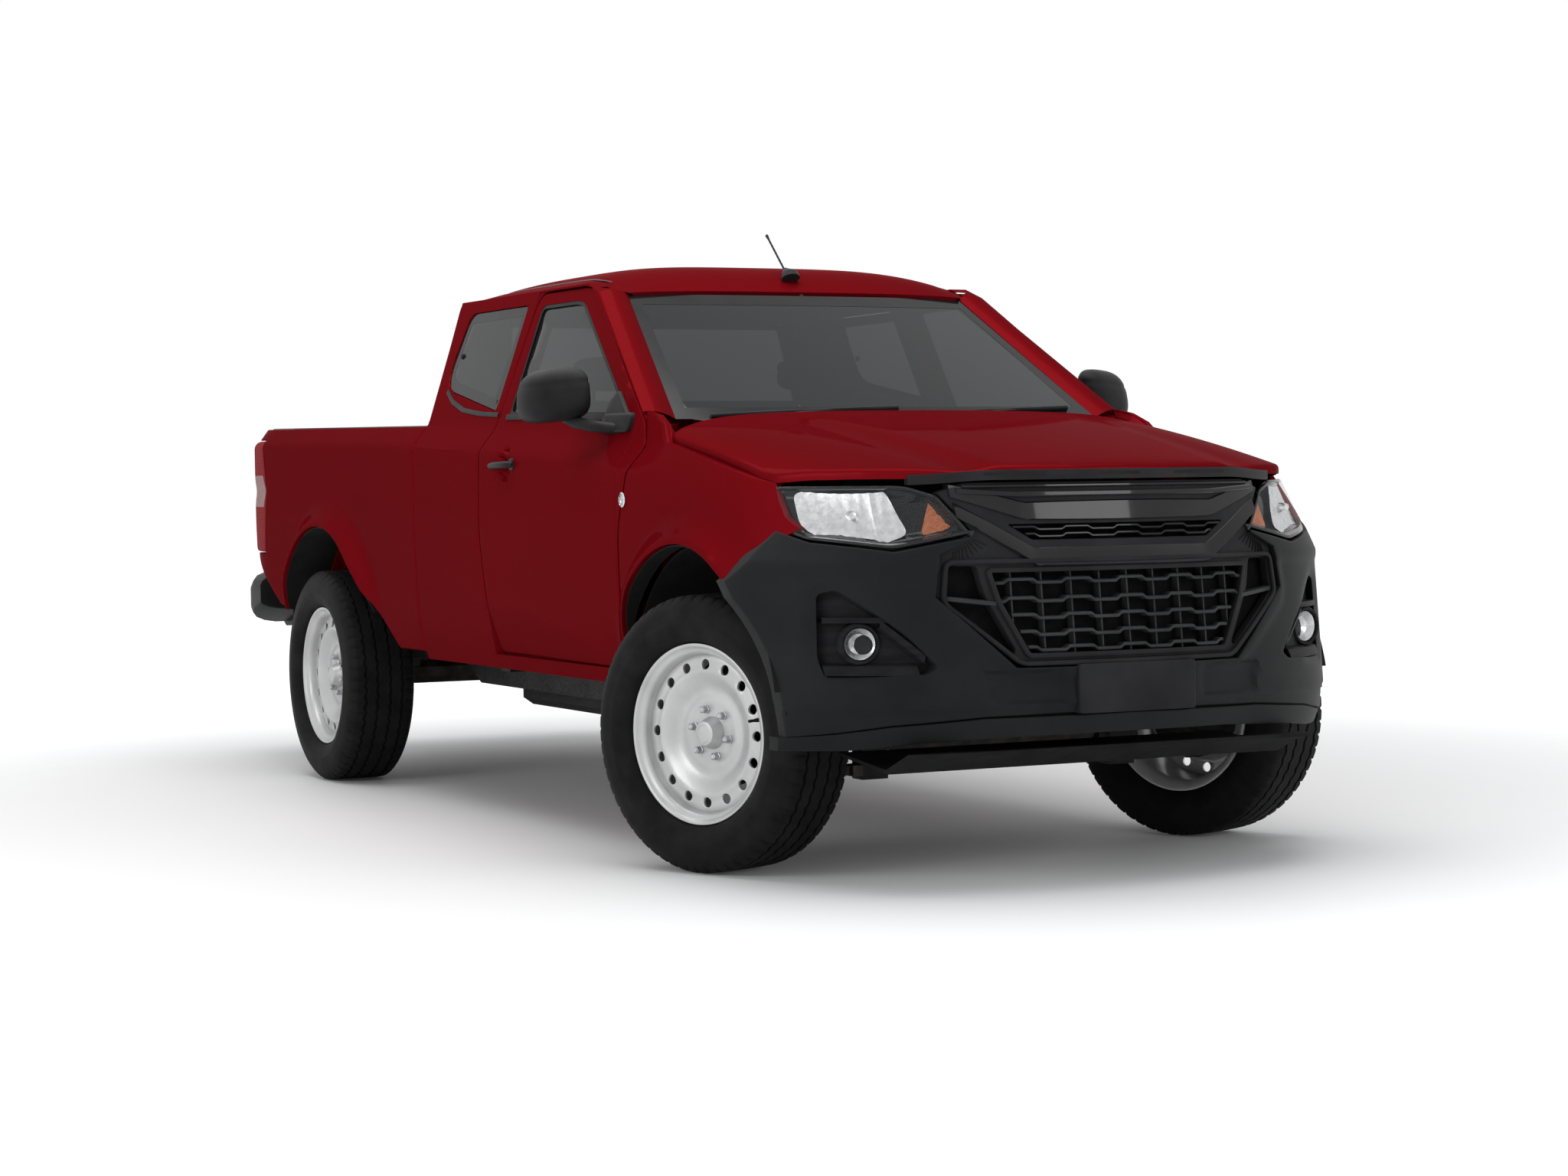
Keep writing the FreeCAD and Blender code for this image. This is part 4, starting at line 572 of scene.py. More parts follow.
# ---------------------------------------------------------------- doors
# Each door is a hemmed steel shell with a pressed window frame, hung on two lift-off hinges at its
# front edge. A black rubber run holds the glass, and a moulded pull handle sits in a round recess.
WINDOW = [(1.205, 1.252), (0.612, 1.612), (0.560, 1.622), (0.276, 1.622), (0.300, 1.275)]
WINDOW_REACH = [0.02, 0.04, 0.04, 0.035, 0.03]
HANDLE = (0.430, 1.122)


def door_skin(x, z, depth):
    """The side skin with the handle's recess: one oval dish, a little taller than wide."""
    dish = 1 - smoothstep(np.hypot((x - HANDLE[0]) / 0.046, (z - HANDLE[1]) / 0.056), 0.62, 1.0)
    return places(x, side_y(x, z) - depth - 0.022 * dish * (depth < 0.03), z)


window_ring = rounded(WINDOW, WINDOW_REACH)
door_shell = panel(door_skin, door_ring, [window_ring], grid=(0.022, 0.010), roll=0.0015, depth=0.056, back=True)
seal_finish = finish("window_rubber", (0.010, 0.010, 0.010), (0.018, 0.018, 0.018), 8.0, (0.45, 0.6), 0.1, 500.0)
glass_finish, nodes, links, shader = wired("tinted_glass")
place = new_node(nodes, "TexCoord")
ripple = new_node(nodes, "TexNoise", {"Scale": 3.0})
wave = new_node(nodes, "Bump", {"Strength": 0.01})
link_nodes(links, (place, "Object", ripple, "Vector"), (ripple, "Fac", wave, "Height"),
                  (wave, "Normal", shader, "Normal"))
set_inputs(shader, {"Base Color": (0.012, 0.014, 0.015, 1), "Roughness": 0.02, "Specular IOR Level": 0.20,
                    "Specular Tint": (0.55, 0.57, 0.58, 1), "Alpha": 0.86})


def closed_strip(skin, ring, inner, outer, height, lift=0.0):
    """A flat moulding along a ring: from inner to outer beside it, standing a height above the skin."""
    rows = [(inner, -lift + 0.004), (inner, -lift - height), ((inner + outer) / 2, -lift - height * 1.15),
            (outer, -lift - height), (outer, -lift + 0.004)]
    ring = turning(divided(ring, 0.015))
    return lattice([skin(*shifted(ring, way).T, down) for way, down in rows], wrap=True)


def sill_strip(line, low, high, height):
    """A moulding along a side line between two heights above it, rounded in its section."""
    t = np.linspace(0, 1, 40)
    x = np.interp(t, np.linspace(0, 1, len(line)), [place[0] for place in line])
    z = np.interp(t, np.linspace(0, 1, len(line)), [place[1] for place in line])
    rows = [(low, 0.002), (low, -height * 0.7), ((low + high) / 2, -height), (high, -height * 0.7), (high, 0.002)]
    return lattice([side_skin(x, z + rise, down) for rise, down in rows])


def signed_power(value, power):
    """A power of the value's size that keeps its sign."""
    return np.sign(value) * np.abs(value) ** power


def rounded_box(centre, size, power=5.0, rows=14, columns=24):
    """A superellipsoid: each coordinate is its half size times a signed power of the sphere's, so that a high
    power gives a box with softly rounded edges."""
    up, around = np.meshgrid(np.linspace(-math.pi / 2, math.pi / 2, rows),
                             np.linspace(0, 2 * math.pi, columns, endpoint=False), indexing="ij")
    out, high, ahead, aside = (signed_power(value, 2 / power)
                               for value in (np.cos(up), np.sin(up), np.cos(around), np.sin(around)))
    shape = places(out * ahead, out * aside, high) * (np.array(size) / 2)
    return lattice(shape + np.array(centre), wrap=True)


def tube(path, radii, sides=12, flat=1.0):
    """A round bar along a path: circles square to it, squeezed to a flat share, with closed ends."""
    path = np.array(path, float)
    radii = np.broadcast_to(radii, len(path))
    along = np.gradient(path, axis=0)
    along /= np.linalg.norm(along, axis=1, keepdims=True)
    helper = np.where(np.abs(along[:, 2:3]) > 0.9, [[1.0, 0, 0]], [[0, 0, 1.0]])
    side = np.cross(helper, along)
    side /= np.linalg.norm(side, axis=1, keepdims=True)
    top = np.cross(along, side)
    a = np.linspace(0, 2 * math.pi, sides, endpoint=False)[None, :, None]
    rings = path[:, None] + radii[:, None, None] * (np.cos(a) * side[:, None] + flat * np.sin(a) * top[:, None])
    rings = np.concatenate([np.repeat(path[:1, None], sides, 1), rings, np.repeat(path[-1:, None], sides, 1)])
    return lattice(rings, wrap=True)


grip = [(0.336, 0.011), (0.350, 0.004), (0.380, -0.003), (0.430, -0.006), (0.480, -0.003), (0.505, 0.003),
        (0.518, 0.010)]
grip_x = np.array([x for x, _ in grip])
grip_z = 1.117 + 0.022 * (grip_x - 0.336)
grip_path = side_skin(grip_x, grip_z, np.array([down - 0.012 for _, down in grip]))
handle = [tube(grip_path, [0.010, 0.0125, 0.0135, 0.0135, 0.0135, 0.0125, 0.009], 14, 0.82)]
handle += [rounded_box(side_skin(np.array([0.505]), np.array([1.121]), 0.002)[0], (0.034, 0.016, 0.036))]
dark_plastic = finish("dark_plastic", (0.012, 0.012, 0.0125), (0.020, 0.020, 0.021), 9.0, (0.4, 0.52), 0.35, 900.0)
trim_fabric = finish("door_trim", (0.030, 0.030, 0.032), (0.042, 0.042, 0.044), 40.0, (0.7, 0.85), 0.6, 700.0)
belt_line = [(1.215, 1.250), (0.90, 1.2577), (0.60, 1.265), (0.297, 1.2722)]
pane_ring = shifted(turning(window_ring), -0.004)
trim_ring = shifted(turning(rounded([(1.27, 0.56), (1.27, 0.95), (1.33, 1.12), (1.27, 1.21), (0.28, 1.235),
                                     (0.26, 0.95), (0.29, 0.70), (0.30, 0.56)], 0.04)), 0.012)
MIRROR = (0.972, 0.9425, 1.318)


def mirror_shell(a, b):
    """The mirror's housing: a superellipsoid cut flat behind, fuller below and tapered to the outside."""
    up, around = np.meshgrid(a, b, indexing="ij")
    x = signed_power(np.cos(up), 0.62) * signed_power(np.cos(around), 0.75)
    y = signed_power(np.cos(up), 0.50) * signed_power(np.sin(around), 0.55)
    z = signed_power(np.sin(up), 0.62)
    x = np.where(x < 0, x * 0.32, x)
    reach = 1 - 0.10 * smoothstep(y, 0.0, 1.0) * smoothstep(z, -0.2, 1.0)
    return places(MIRROR[0] + 0.092 * x * (1 - 0.22 * z) - 0.030 * y, MIRROR[1] + 0.0955 * y * reach,
                  MIRROR[2] + 0.0790 * z * reach - 0.008 * y)


shell_up = np.linspace(-math.pi / 2, math.pi / 2, 34)
shell_round = np.linspace(0, 2 * math.pi, 56, endpoint=False)
housing = mirror_shell(shell_up, shell_round)
seam = 1 - 0.022 * np.exp(-((np.arange(34) - 19.0) / 0.7) ** 2)[:, None, None]
housing = MIRROR + (housing - MIRROR) * seam
arm_path = [(1.170, 0.806, 1.214), (1.140, 0.836, 1.219), (1.095, 0.868, 1.226), (1.050, 0.895, 1.236),
            (1.010, 0.915, 1.250)]
sail = panel(side_skin, rounded([(1.245, 1.236), (1.205, 1.262), (1.095, 1.330), (1.062, 1.300), (1.055, 1.268),
                                 (1.06, 1.238)], 0.012), grid=(0.02, 0.012), roll=0.004, depth=0.010, proud=0.010)
foot = panel(side_skin, rounded([(1.262, 1.205), (1.250, 1.262), (1.055, 1.262), (1.075, 1.205)], 0.022),
             grid=(0.02, 0.012), roll=0.008, depth=0.004, proud=0.016)
t = np.linspace(0, 2 * math.pi, 40, endpoint=False)
glass_ring = np.stack([np.cos(t), np.sin(t)], 1)
glass_ring = signed_power(glass_ring, 0.62) * (0.080, 0.062)
mirror_silver = finish("mirror_silver", (0.82, 0.84, 0.85), (0.86, 0.87, 0.88), 3.0, (0.01, 0.03), 0.0, 50.0,
                       metal=1.0)


def mirror_face(a, b, depth):
    """The mirror's glass: a flat plane that turns back towards its outer end."""
    return places(0.9395 - depth - 0.03 * a, MIRROR[1] + a, 1.316 + b)


for side, turn in HANDS:
    body = f"door_{side}"
    shell = mesh_object(f"door_shell_{side}", turn(door_shell), paint)
    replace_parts(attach(shell, body), body)
    rubber = mesh_object(f"door_glass_run_{side}", turn([
        closed_strip(side_skin, window_ring, -0.002, 0.011, 0.000, lift=-0.002),
        sill_strip(belt_line, -0.010, 0.008, 0.006)]), seal_finish)
    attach(rubber, body)
    pane = mesh_object(f"door_pane_{side}", turn(panel(side_skin, pane_ring, grid=(0.06, 0.04), roll=0.0005,
                                                       depth=0.012, proud=-0.008)), glass_finish)
    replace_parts(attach(pane, body), f"door_glass_{side}")
    pull = mesh_object(f"door_handle_{side}", turn(handle), dark_plastic)
    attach(pull, body)
    inner = panel(side_skin, trim_ring, grid=(0.05, 0.03), roll=0.006, depth=0.010)
    inner = [(points - (0, 0.0665, 0), faces[:, ::-1]) for points, faces in inner]
    rest = rounded_box((0.62, 0.765, 0.965), (0.46, 0.07, 0.06))
    trim = mesh_object(f"door_trim_{side}", turn(inner + [rest]), trim_fabric)
    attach(trim, body)
    housing_piece = mesh_object(f"mirror_housing_{side}", turn(
        [lattice(housing, wrap=True), tube(arm_path, [0.022, 0.024, 0.024, 0.025, 0.020], 16, 0.72)]
        + sail + foot), dark_plastic)
    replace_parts(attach(housing_piece, body), f"mirror_{side}")
    view = mesh_object(f"mirror_glass_{side}", turn(panel(mirror_face, glass_ring, grid=(0.05, 0.05), roll=0.001,
                                                          depth=-0.003)), mirror_silver)
    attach(view, body)


# ---------------------------------------------------------------- front fenders
# The fenders bolt to the inner structure along the hood's edge and behind the bumper. Each is one
# pressing with a swollen arch lip, and carries a small round repeater lamp behind the arch.
HOOD_REAR, HOOD_HALF, HOOD_CREST = 1.410, 0.800, 1.262


def hood_z(x, y):
    """Height of the hood: a parabola along the middle, a crown across it, and sides rounded by an eighth power."""
    run = x - HOOD_REAR
    share = y / HOOD_HALF
    middle = HOOD_CREST - 0.090 * run - 0.055 * run ** 2
    return middle - (0.012 + 0.046 * run) * share ** 2 - (0.044 + 0.012 * run) * share ** 8


top_x = np.array([2.128, 2.05, 1.951, 1.85, 1.75, 1.65, 1.578, 1.520])
fender_top = np.stack([top_x, hood_z(top_x, 0.8) - 0.018], axis=1)
fender_ring = np.concatenate([
    [(1.306, 0.524), (1.306, 0.930), (1.3785, 1.1035), (1.3965, 1.160), (1.342, 1.238), (1.322, 1.262),
     (1.400, 1.250), (1.470, 1.222)],
    fender_top[::-1],
    [(2.160, 1.012), (2.202, 0.967), (2.254, 0.936), (2.180, 0.876), (2.097, 0.806)],
    arc(FRONT_ARCH, ARCH_RADIUS, 52.0, 164.4),
])
fender = panel(side_skin, fender_ring, grid=(0.020, 0.010), roll=0.0020, depth=0.018)
ledge_x = np.concatenate([[1.330, 1.400, 1.470], top_x[::-1]])
ledge_z = np.concatenate([[1.262, 1.250, 1.222], fender_top[::-1, 1]])
start = side_skin(ledge_x, ledge_z, 0.0015)
inward = places(ledge_x, np.minimum(start[:, 1] - 0.012, 0.815), ledge_z + 0.001)
under = places(ledge_x, 0.775, ledge_z - 0.022)
fenders = mesh_object("front_fender_skins", both_sides(fender + [lattice([start, inward, under])]), paint)
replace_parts(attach(fenders, "truck"), "front_fenders")


def turned(profile, centre, axis, segments=48):
    """A profile of (radius, distance along the axis) carried round an axis through a centre."""
    axis = np.array(axis, float) / np.linalg.norm(axis)
    aside = np.cross(axis, (0, 0, 1.0) if abs(axis[2]) < 0.9 else (1.0, 0, 0))
    aside /= np.linalg.norm(aside)
    across = np.cross(axis, aside)
    a = np.linspace(0, 2 * math.pi, segments, endpoint=False)[None, :, None]
    radius, along = (np.array(values, float)[:, None, None] for values in zip(*profile))
    return lattice(np.array(centre) + along * axis + radius * (np.cos(a) * aside + np.sin(a) * across), wrap=True)


lens_clear, nodes, links, shader = wired("lens_clear")
place = new_node(nodes, "TexCoord")
flute = new_node(nodes, "TexWave", {"Scale": 22.0, "Distortion": 0.4})
ribs = new_node(nodes, "Bump", {"Strength": 0.05})
link_nodes(links, (place, "Object", flute, "Vector"), (flute, "Fac", ribs, "Height"),
                  (ribs, "Normal", shader, "Normal"))
set_inputs(shader, {"Base Color": (0.05, 0.055, 0.06, 1), "Roughness": 0.03, "Alpha": 0.20})
chrome = finish("bright_chrome", (0.62, 0.63, 0.64), (0.76, 0.77, 0.78), 40.0, (0.08, 0.2), 0.15, 90.0, metal=1.0)
for side, turn in HANDS:
    seat = side_skin(np.array([1.348]), np.array([1.012]), 0.0)[0]
    ring = turned([(0.0, -0.002), (0.021, -0.002), (0.0215, 0.004), (0.018, 0.006), (0.0165, 0.002), (0.0, 0.001)],
                  seat, (0, 1, 0), 32)
    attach(mesh_object(f"repeater_ring_{side}", turn([ring]), chrome), "truck")
    dome = turned([(0.0166, 0.002), (0.0150, 0.0075), (0.010, 0.011), (0.0, 0.0125)], seat, (0, 1, 0), 32)
    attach(mesh_object(f"repeater_lens_{side}", turn([dome]), lens_clear), "truck")


# ---------------------------------------------------------------- hood
# The hood is a steel skin hemmed over an inner frame, hinged at the cowl. A raised middle runs down to
# the nose between two soft creases, and a slotted black moulding is clipped under its front edge.
def hood_skin(y, x, depth):
    """The hood's height with its middle raised between two lines that close in forward."""
    edge = 0.47 - 0.10 * (x - HOOD_REAR)
    raised = 0.008 * (1 - smoothstep(np.abs(y), edge - 0.03, edge + 0.03)) * smoothstep(x, 1.42, 1.75)
    hollow = 0.006 * np.exp(-((np.abs(y) - edge - 0.07) / 0.05) ** 2) * smoothstep(x, 1.50, 1.80)
    return places(x, y, hood_z(x, y) + raised - hollow - 0.006 * smoothstep(x, 2.50, 2.60) - depth)


def hood_lip(y):
    """The hood's front edge: the nose at that height, less a small gap."""
    return nose_x(y, 1.052) - 0.006


front_y = np.array([0.790, 0.770, 0.700, 0.640, 0.588, 0.520, 0.440, 0.300, 0.150])
front_line = np.stack([front_y, hood_lip(front_y)], axis=1)
rear_line = np.array([(0.150, 1.412), (0.300, 1.422), (0.500, 1.440), (0.680, 1.462), (0.760, 1.476), (0.802, 1.492)])
side_line = np.stack([np.full(6, 0.8040), np.linspace(1.55, 2.06, 6)], axis=1)
half_ring = np.concatenate([rear_line, side_line, front_line])
hood_ring = np.concatenate([half_ring, half_ring[::-1] * (-1, 1)])
hood = panel(hood_skin, hood_ring, grid=(0.016, 0.024), roll=0.009, depth=0.024, back=True)
beams = []
for hinge_y in (-0.672, 0.672):
    beams.append(tube([(1.304, hinge_y, 1.187), (1.36, hinge_y, 1.190), (1.50, hinge_y, 1.198),
                       (1.62, hinge_y, 1.204)], 0.006, 8))
for hinge_y in (-0.672, 0.672):
    beams.append(turned([(0.0068, -0.008), (0.012, -0.008), (0.012, 0.008), (0.0068, 0.008), (0.0068, -0.008)],
                        (1.300, hinge_y, 1.190), (0, 1, 0), 20))
hood_piece = mesh_object("hood_skin", hood + beams, paint)
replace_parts(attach(hood_piece, "hood"), "hood")


def follow(z_of, half, height, inset, depth, count=61, slope=0.0, ends=0.0):
    """A bar that follows the nose: at each y its face is a height tall about z_of(y), set in from the skin, with
    softened edges and a depth behind; its face may lean, and its height narrows to the ends by a share."""
    y = np.linspace(-half, half, count)
    z = z_of(y)
    tall = height * (1 - ends * (np.abs(y) / half) ** 2) / 2
    soft = np.minimum(0.003, height * 0.3)
    section = [(-1, 0, depth), (-1, 0, soft), (-1, 1, 0), (1, -1, 0), (1, 0, soft), (1, 0, depth)]
    rows = []
    for way, shift, back in section:
        level = z + way * tall + shift * soft
        rows.append(places(nose_x(y, level) - inset - back + slope * (way + 1) / 2 * (back < depth), y, level))
    grid, faces = lattice(rows + rows[:1])
    ends_faces = [[row * count + column for row in range(len(rows))] for column in (0, count - 1)]
    caps = [(grid[face], np.array([[0, 1, 2, 3], [0, 3, 4, 5]])) for face in ends_faces]
    return [(grid, faces)] + caps


gloss_black = finish("gloss_black", (0.008, 0.008, 0.009), (0.014, 0.014, 0.015), 5.0, (0.12, 0.2), 0.03, 700.0,
                     coat=0.4)
front_y = np.linspace(-0.560, 0.560, 91)
rows = []
for out, z in ((-0.010, 1.0790), (0.0020, 1.0800), (0.0045, 1.0760), (0.0055, 1.0620), (0.0040, 1.0545),
               (-0.012, 1.0540)):
    drop = 0.010 * smoothstep(np.abs(front_y), 0.36, 0.56)
    rows.append(places(hood_lip(front_y) + out, front_y, z - drop))
strip = mesh_object("hood_front_moulding", [lattice(rows + rows[:1])], black_trim)
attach(strip, "hood")
slots = []
for middle, half in ((-0.305, 0.080), (-0.038, 0.088), (0.255, 0.090)):
    y = np.linspace(middle - half, middle + half, 15)
    slots.append(lattice([places(hood_lip(y) + 0.0058, y, z) for z in (1.0660, 1.0735)]))
dark_slots = mesh_object("hood_moulding_slots", slots, seal_finish, recalculate=False)
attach(dark_slots, "hood")


# ---------------------------------------------------------------- front bumper
# The bumper is one large moulding in grained dark plastic that wraps round to the wheel arches. It is
# open for the grille and the fog lamp pockets, with a lower lip and a bare plate panel clipped on.
def nose_skin(y, z, depth):
    """The nose skin, set back by a depth."""
    return places(nose_x(y, z) - depth, y, z)


def ring_gap(y, z, ring):
    """Distance of each point to a ring's nearest edge, positive inside it."""
    points = np.stack([np.ravel(y), np.ravel(z)], axis=1)
    a, b = ring, np.roll(ring, -1, 0)
    way = b - a
    share = np.clip(np.sum((points[:, None] - a) * way, -1) / np.maximum(np.sum(way * way, -1), 1e-12), 0, 1)
    gap = np.min(np.linalg.norm(points[:, None] - a - share[..., None] * way, axis=-1), axis=1)
    return (gap * np.where(inside(points, ring), 1, -1)).reshape(np.shape(y))


HEX = [(-0.500, 0.846), (-0.512, 0.742), (-0.324, 0.584), (0.324, 0.584), (0.512, 0.742), (0.500, 0.846)]
hex_ring = rounded(HEX, 0.02)
TRAY = [(0.205, 0.572), (0.420, 0.566), (0.405, 0.486), (0.205, 0.478)]
tray_ring = rounded(TRAY, 0.012)
POCKET = [(0.532, 0.580), (0.560, 0.562), (0.768, 0.556), (0.781, 0.600), (0.776, 0.768), (0.738, 0.778),
          (0.648, 0.702), (0.600, 0.660)]
pocket_ring = rounded(POCKET, [0.01, 0.01, 0.012, 0.02, 0.015, 0.012, 0.015, 0.02])


def bumper_skin(y, z, depth):
    """The nose skin with the bumper's forms: a shelf under the lamps, a thick frame that stands out round the
    grille, two shallow trays beside the plate, and a bevel beside each fog lamp pocket."""
    side = np.abs(y)
    shelf = 0.010 * smoothstep(z, 0.812, 0.838) * (1 - smoothstep(side, 0.80, 0.88))
    frame = 0.009 * (1 - smoothstep(-ring_gap(side, z, hex_ring), 0.028, 0.050)) * (1 - smoothstep(z, 0.80, 0.86))
    tray = 0.010 * smoothstep(ring_gap(side, z, tray_ring), 0.0, 0.006)
    pocket = 0.012 * (1 - smoothstep(-ring_gap(side, z, pocket_ring), 0.0, 0.034)) * smoothstep(side, 0.62, 0.72)
    lower = 0.010 * (1 - smoothstep(z, 0.462, 0.476))
    sunk = tray + pocket + lower - shelf - frame
    return nose_skin(y, z, depth + sunk * (depth < 0.03) + 0.0025)


arch_z = np.linspace(0.400, 0.786, 14)
arch_x = FRONT_ARCH[0] + np.sqrt(ARCH_RADIUS ** 2 - (arch_z - FRONT_ARCH[1]) ** 2)
arch_edge = np.stack([np.minimum(nose_half(arch_x, arch_z), 0.929), arch_z], axis=1)
bumper_half = np.concatenate([
    [(0.0, 0.455), (0.200, 0.455), (0.420, 0.450), (0.640, 0.432), (0.760, 0.412)],
    arch_edge[:-1],
    [(0.929, 0.800), (0.880, 0.870), (0.828, 0.930), (0.800, 0.912), (0.780, 0.900), (0.616, 0.874), (0.520, 0.893),
     (0.424, 0.912), (0.428, 0.904), (0.515, 0.866), (0.532, 0.758), (0.340, 0.574), (0.0, 0.574)],
])
bumper_ring = np.concatenate([bumper_half, bumper_half[::-1][1:-1] * (-1, 1)])
grained = finish("grained_plastic", (0.0115, 0.012, 0.0125), (0.017, 0.0175, 0.018), 4.0, (0.44, 0.56), 0.5, 1100.0)
bumper = panel(bumper_skin, bumper_ring, [pocket_ring, pocket_ring * (-1, 1)], grid=(0.014, 0.010), roll=0.004,
               depth=0.050)
lip_half = np.concatenate([[(0.0, 0.400), (0.300, 0.398), (0.560, 0.385), (0.720, 0.366), (0.846, 0.362)],
                           [(0.852, 0.398), (0.760, 0.408), (0.640, 0.428), (0.420, 0.446), (0.0, 0.451)]])
lip_ring = np.concatenate([lip_half, lip_half[::-1][1:-1] * (-1, 1)])


def lip_skin(y, z, depth):
    """The lower lip: the nose skin drawn under by a parabola as it goes down."""
    low = np.clip((0.450 - z) / 0.09, 0, 1.1)
    return nose_skin(y, z, depth + 0.010 + 0.030 * low ** 2)


lip = panel(lip_skin, lip_ring, grid=(0.03, 0.010), roll=0.004, depth=0.050)
pocket_back = []
for ring in (pocket_ring, pocket_ring * (-1, 1)):
    flat, faces = filled([turning(divided(ring, 0.012))], np.array((0.014, 0.014)))
    pocket_back.append((nose_skin(*flat.T, 0.047), faces))
y = np.linspace(-0.840, 0.840, 60)
joint_z = np.interp(np.abs(y), [0, 0.20, 0.42, 0.64, 0.76, 0.85], [0.453, 0.453, 0.448, 0.430, 0.410, 0.400])
joint = [lattice([nose_skin(y, joint_z + rise, back)
                  for rise, back in ((-0.03, 0.052), (-0.03, 0.034), (0.03, 0.030), (0.03, 0.052))])]
bumper_piece = mesh_object("front_bumper_moulding", bumper + lip + joint, grained)
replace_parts(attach(bumper_piece, "truck"), "front_bumper")
pocket_finish = finish("pocket_plastic", (0.010, 0.010, 0.011), (0.018, 0.018, 0.019), 12.0, (0.5, 0.62), 0.6, 300.0,
                       stretch=(1, 1, 5))
FOG = (0.693, 0.640)
inserts = []
for way in (-1, 1):
    y = np.linspace(0.640, 0.772, 20)
    inserts.append(lattice([nose_skin(way * y, z, back) for z, back in (
        (0.694, 0.046), (0.694, 0.010), (0.702, 0.004), (0.708, 0.010), (0.708, 0.046))]))
    y = np.linspace(0.560, 0.655, 20)
    z = 0.604 + 0.95 * (y - 0.560)
    inserts.append(lattice([nose_skin(way * y, z + up, back) for up, back in (
        (-0.016, 0.046), (-0.012, 0.014), (0.006, 0.006), (0.010, 0.012), (0.010, 0.046))]))
    y = np.linspace(0.575, 0.772, 20)
    inserts.append(lattice([nose_skin(way * y, z, back) for z, back in (
        (0.560, 0.006), (0.584, 0.020), (0.590, 0.046))]))
    bezel = [(0.056, -0.030), (0.054, 0.006), (0.050, 0.012), (0.044, 0.010), (0.040, -0.010), (0.040, -0.030)]
    inserts.append(turned(bezel, (nose_x(*FOG) - 0.030, way * FOG[0], FOG[1]), (1, way * 0.25, 0), 48))
pocket_piece = mesh_object("fog_pocket_inserts", pocket_back + inserts, pocket_finish, recalculate=False)
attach(pocket_piece, "truck")


TRUCK_END = 2.6335


def plate_skin(y, z, depth):
    """The plate panel: level up and down, and a shallow parabola across."""
    return places(TRUCK_END - 0.05 * y * y - depth, y, z)


plate = panel(plate_skin, rounded([(-0.178, 0.452), (0.178, 0.452), (0.178, 0.580), (-0.178, 0.580)], 0.010),
              grid=(0.03, 0.03), roll=0.003, depth=0.030)
plate_piece = mesh_object("plate_panel", plate, black_trim)
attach(plate_piece, "truck")


# ---------------------------------------------------------------- grille
# The grille is moulded in black plastic: folded blades over a stepped lattice, inside a six-sided
# frame that is clipped into the bumper. The middle band, where a badge would sit, is bare.
def folded(base, flat, rise):
    """Height of a folded blade: level in the middle, then climbing straight out to its ends."""
    return lambda y: base + rise * np.maximum(0, np.abs(y) - flat)


def stepped(base, pitch, step):
    """Height of a stepped bar: level runs that alternate by a step, joined by short ramps."""
    def height(y):
        """The bar's height at a place across, by where the place is in its step's pitch."""
        phase = np.mod(y / pitch + 0.25, 1.0)
        up = smoothstep(phase, 0.0, 0.10) * (1 - smoothstep(phase, 0.5, 0.60))
        return base + step * (up - 0.5)
    return height


GRILLE = [(-0.4975, 1.024), (-0.430, 1.049), (0.430, 1.049), (0.4975, 1.024), (0.424, 0.925), (0.512, 0.868),
          (0.528, 0.760), (0.338, 0.588), (-0.338, 0.588), (-0.528, 0.760), (-0.512, 0.868), (-0.424, 0.925)]
grille_ring = shifted(turning(rounded(GRILLE, 0.006)), 0.001)
low_hole = rounded([(-0.395, 0.824), (0.395, 0.824), (0.372, 0.742), (0.302, 0.604), (-0.302, 0.604),
                    (-0.372, 0.742)], 0.012)
pods = [rounded([(way * 0.492, 0.836), (way * 0.500, 0.745), (way * 0.340, 0.606), (way * 0.332, 0.618),
                 (way * 0.404, 0.760), (way * 0.420, 0.836)], 0.010) for way in (-1, 1)]
mid_hole = rounded([(-0.330, 0.940), (0.330, 0.940), (0.268, 0.900), (-0.268, 0.900)], 0.006)
surround = panel(lambda y, z, depth: nose_skin(y, z, depth + 0.012), grille_ring, [low_hole, mid_hole] + pods,
                 grid=(0.020, 0.014), roll=0.003, depth=0.030)
surround_piece = mesh_object("grille_surround", surround, black_trim)
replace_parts(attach(surround_piece, "truck"), "grille")
blades = follow(folded(0.8560, 0.262, 0.62), 0.462, 0.050, -0.001, 0.040, slope=-0.010, ends=0.25)
blades += follow(folded(0.9740, 0.285, 0.30), 0.470, 0.052, 0.002, 0.030, slope=-0.004, ends=0.35)
blades += follow(folded(1.0180, 0.300, 0.06), 0.455, 0.014, 0.000, 0.024)
blades += follow(folded(1.0390, 0.300, 0.00), 0.440, 0.010, 0.002, 0.024)
blades += follow(stepped(0.9300, 0.150, 0.007), 0.318, 0.007, 0.010, 0.030, count=121)
blades += follow(stepped(0.9120, 0.150, 0.007), 0.285, 0.007, 0.010, 0.030, count=121)
blade_piece = mesh_object("grille_blades", blades, gloss_black)
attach(blade_piece, "truck")
bars = []
for level, half in ((0.795, 0.384), (0.747, 0.366), (0.704, 0.338), (0.661, 0.318), (0.621, 0.300)):
    bars += follow(stepped(level, 0.158, 0.009), half, 0.0085, 0.010, 0.030, count=161)
for y in np.linspace(-0.33, 0.33, 9):
    low = 0.600 + max(0.0, abs(y) - 0.29) * 1.6
    z = np.linspace(low, 0.826, 12)
    bars.append(lattice([places(nose_x(y, z) - back, y + aside, z) for aside, back in (
        (-0.002, 0.048), (-0.002, 0.022), (0.002, 0.022), (0.002, 0.048))]))
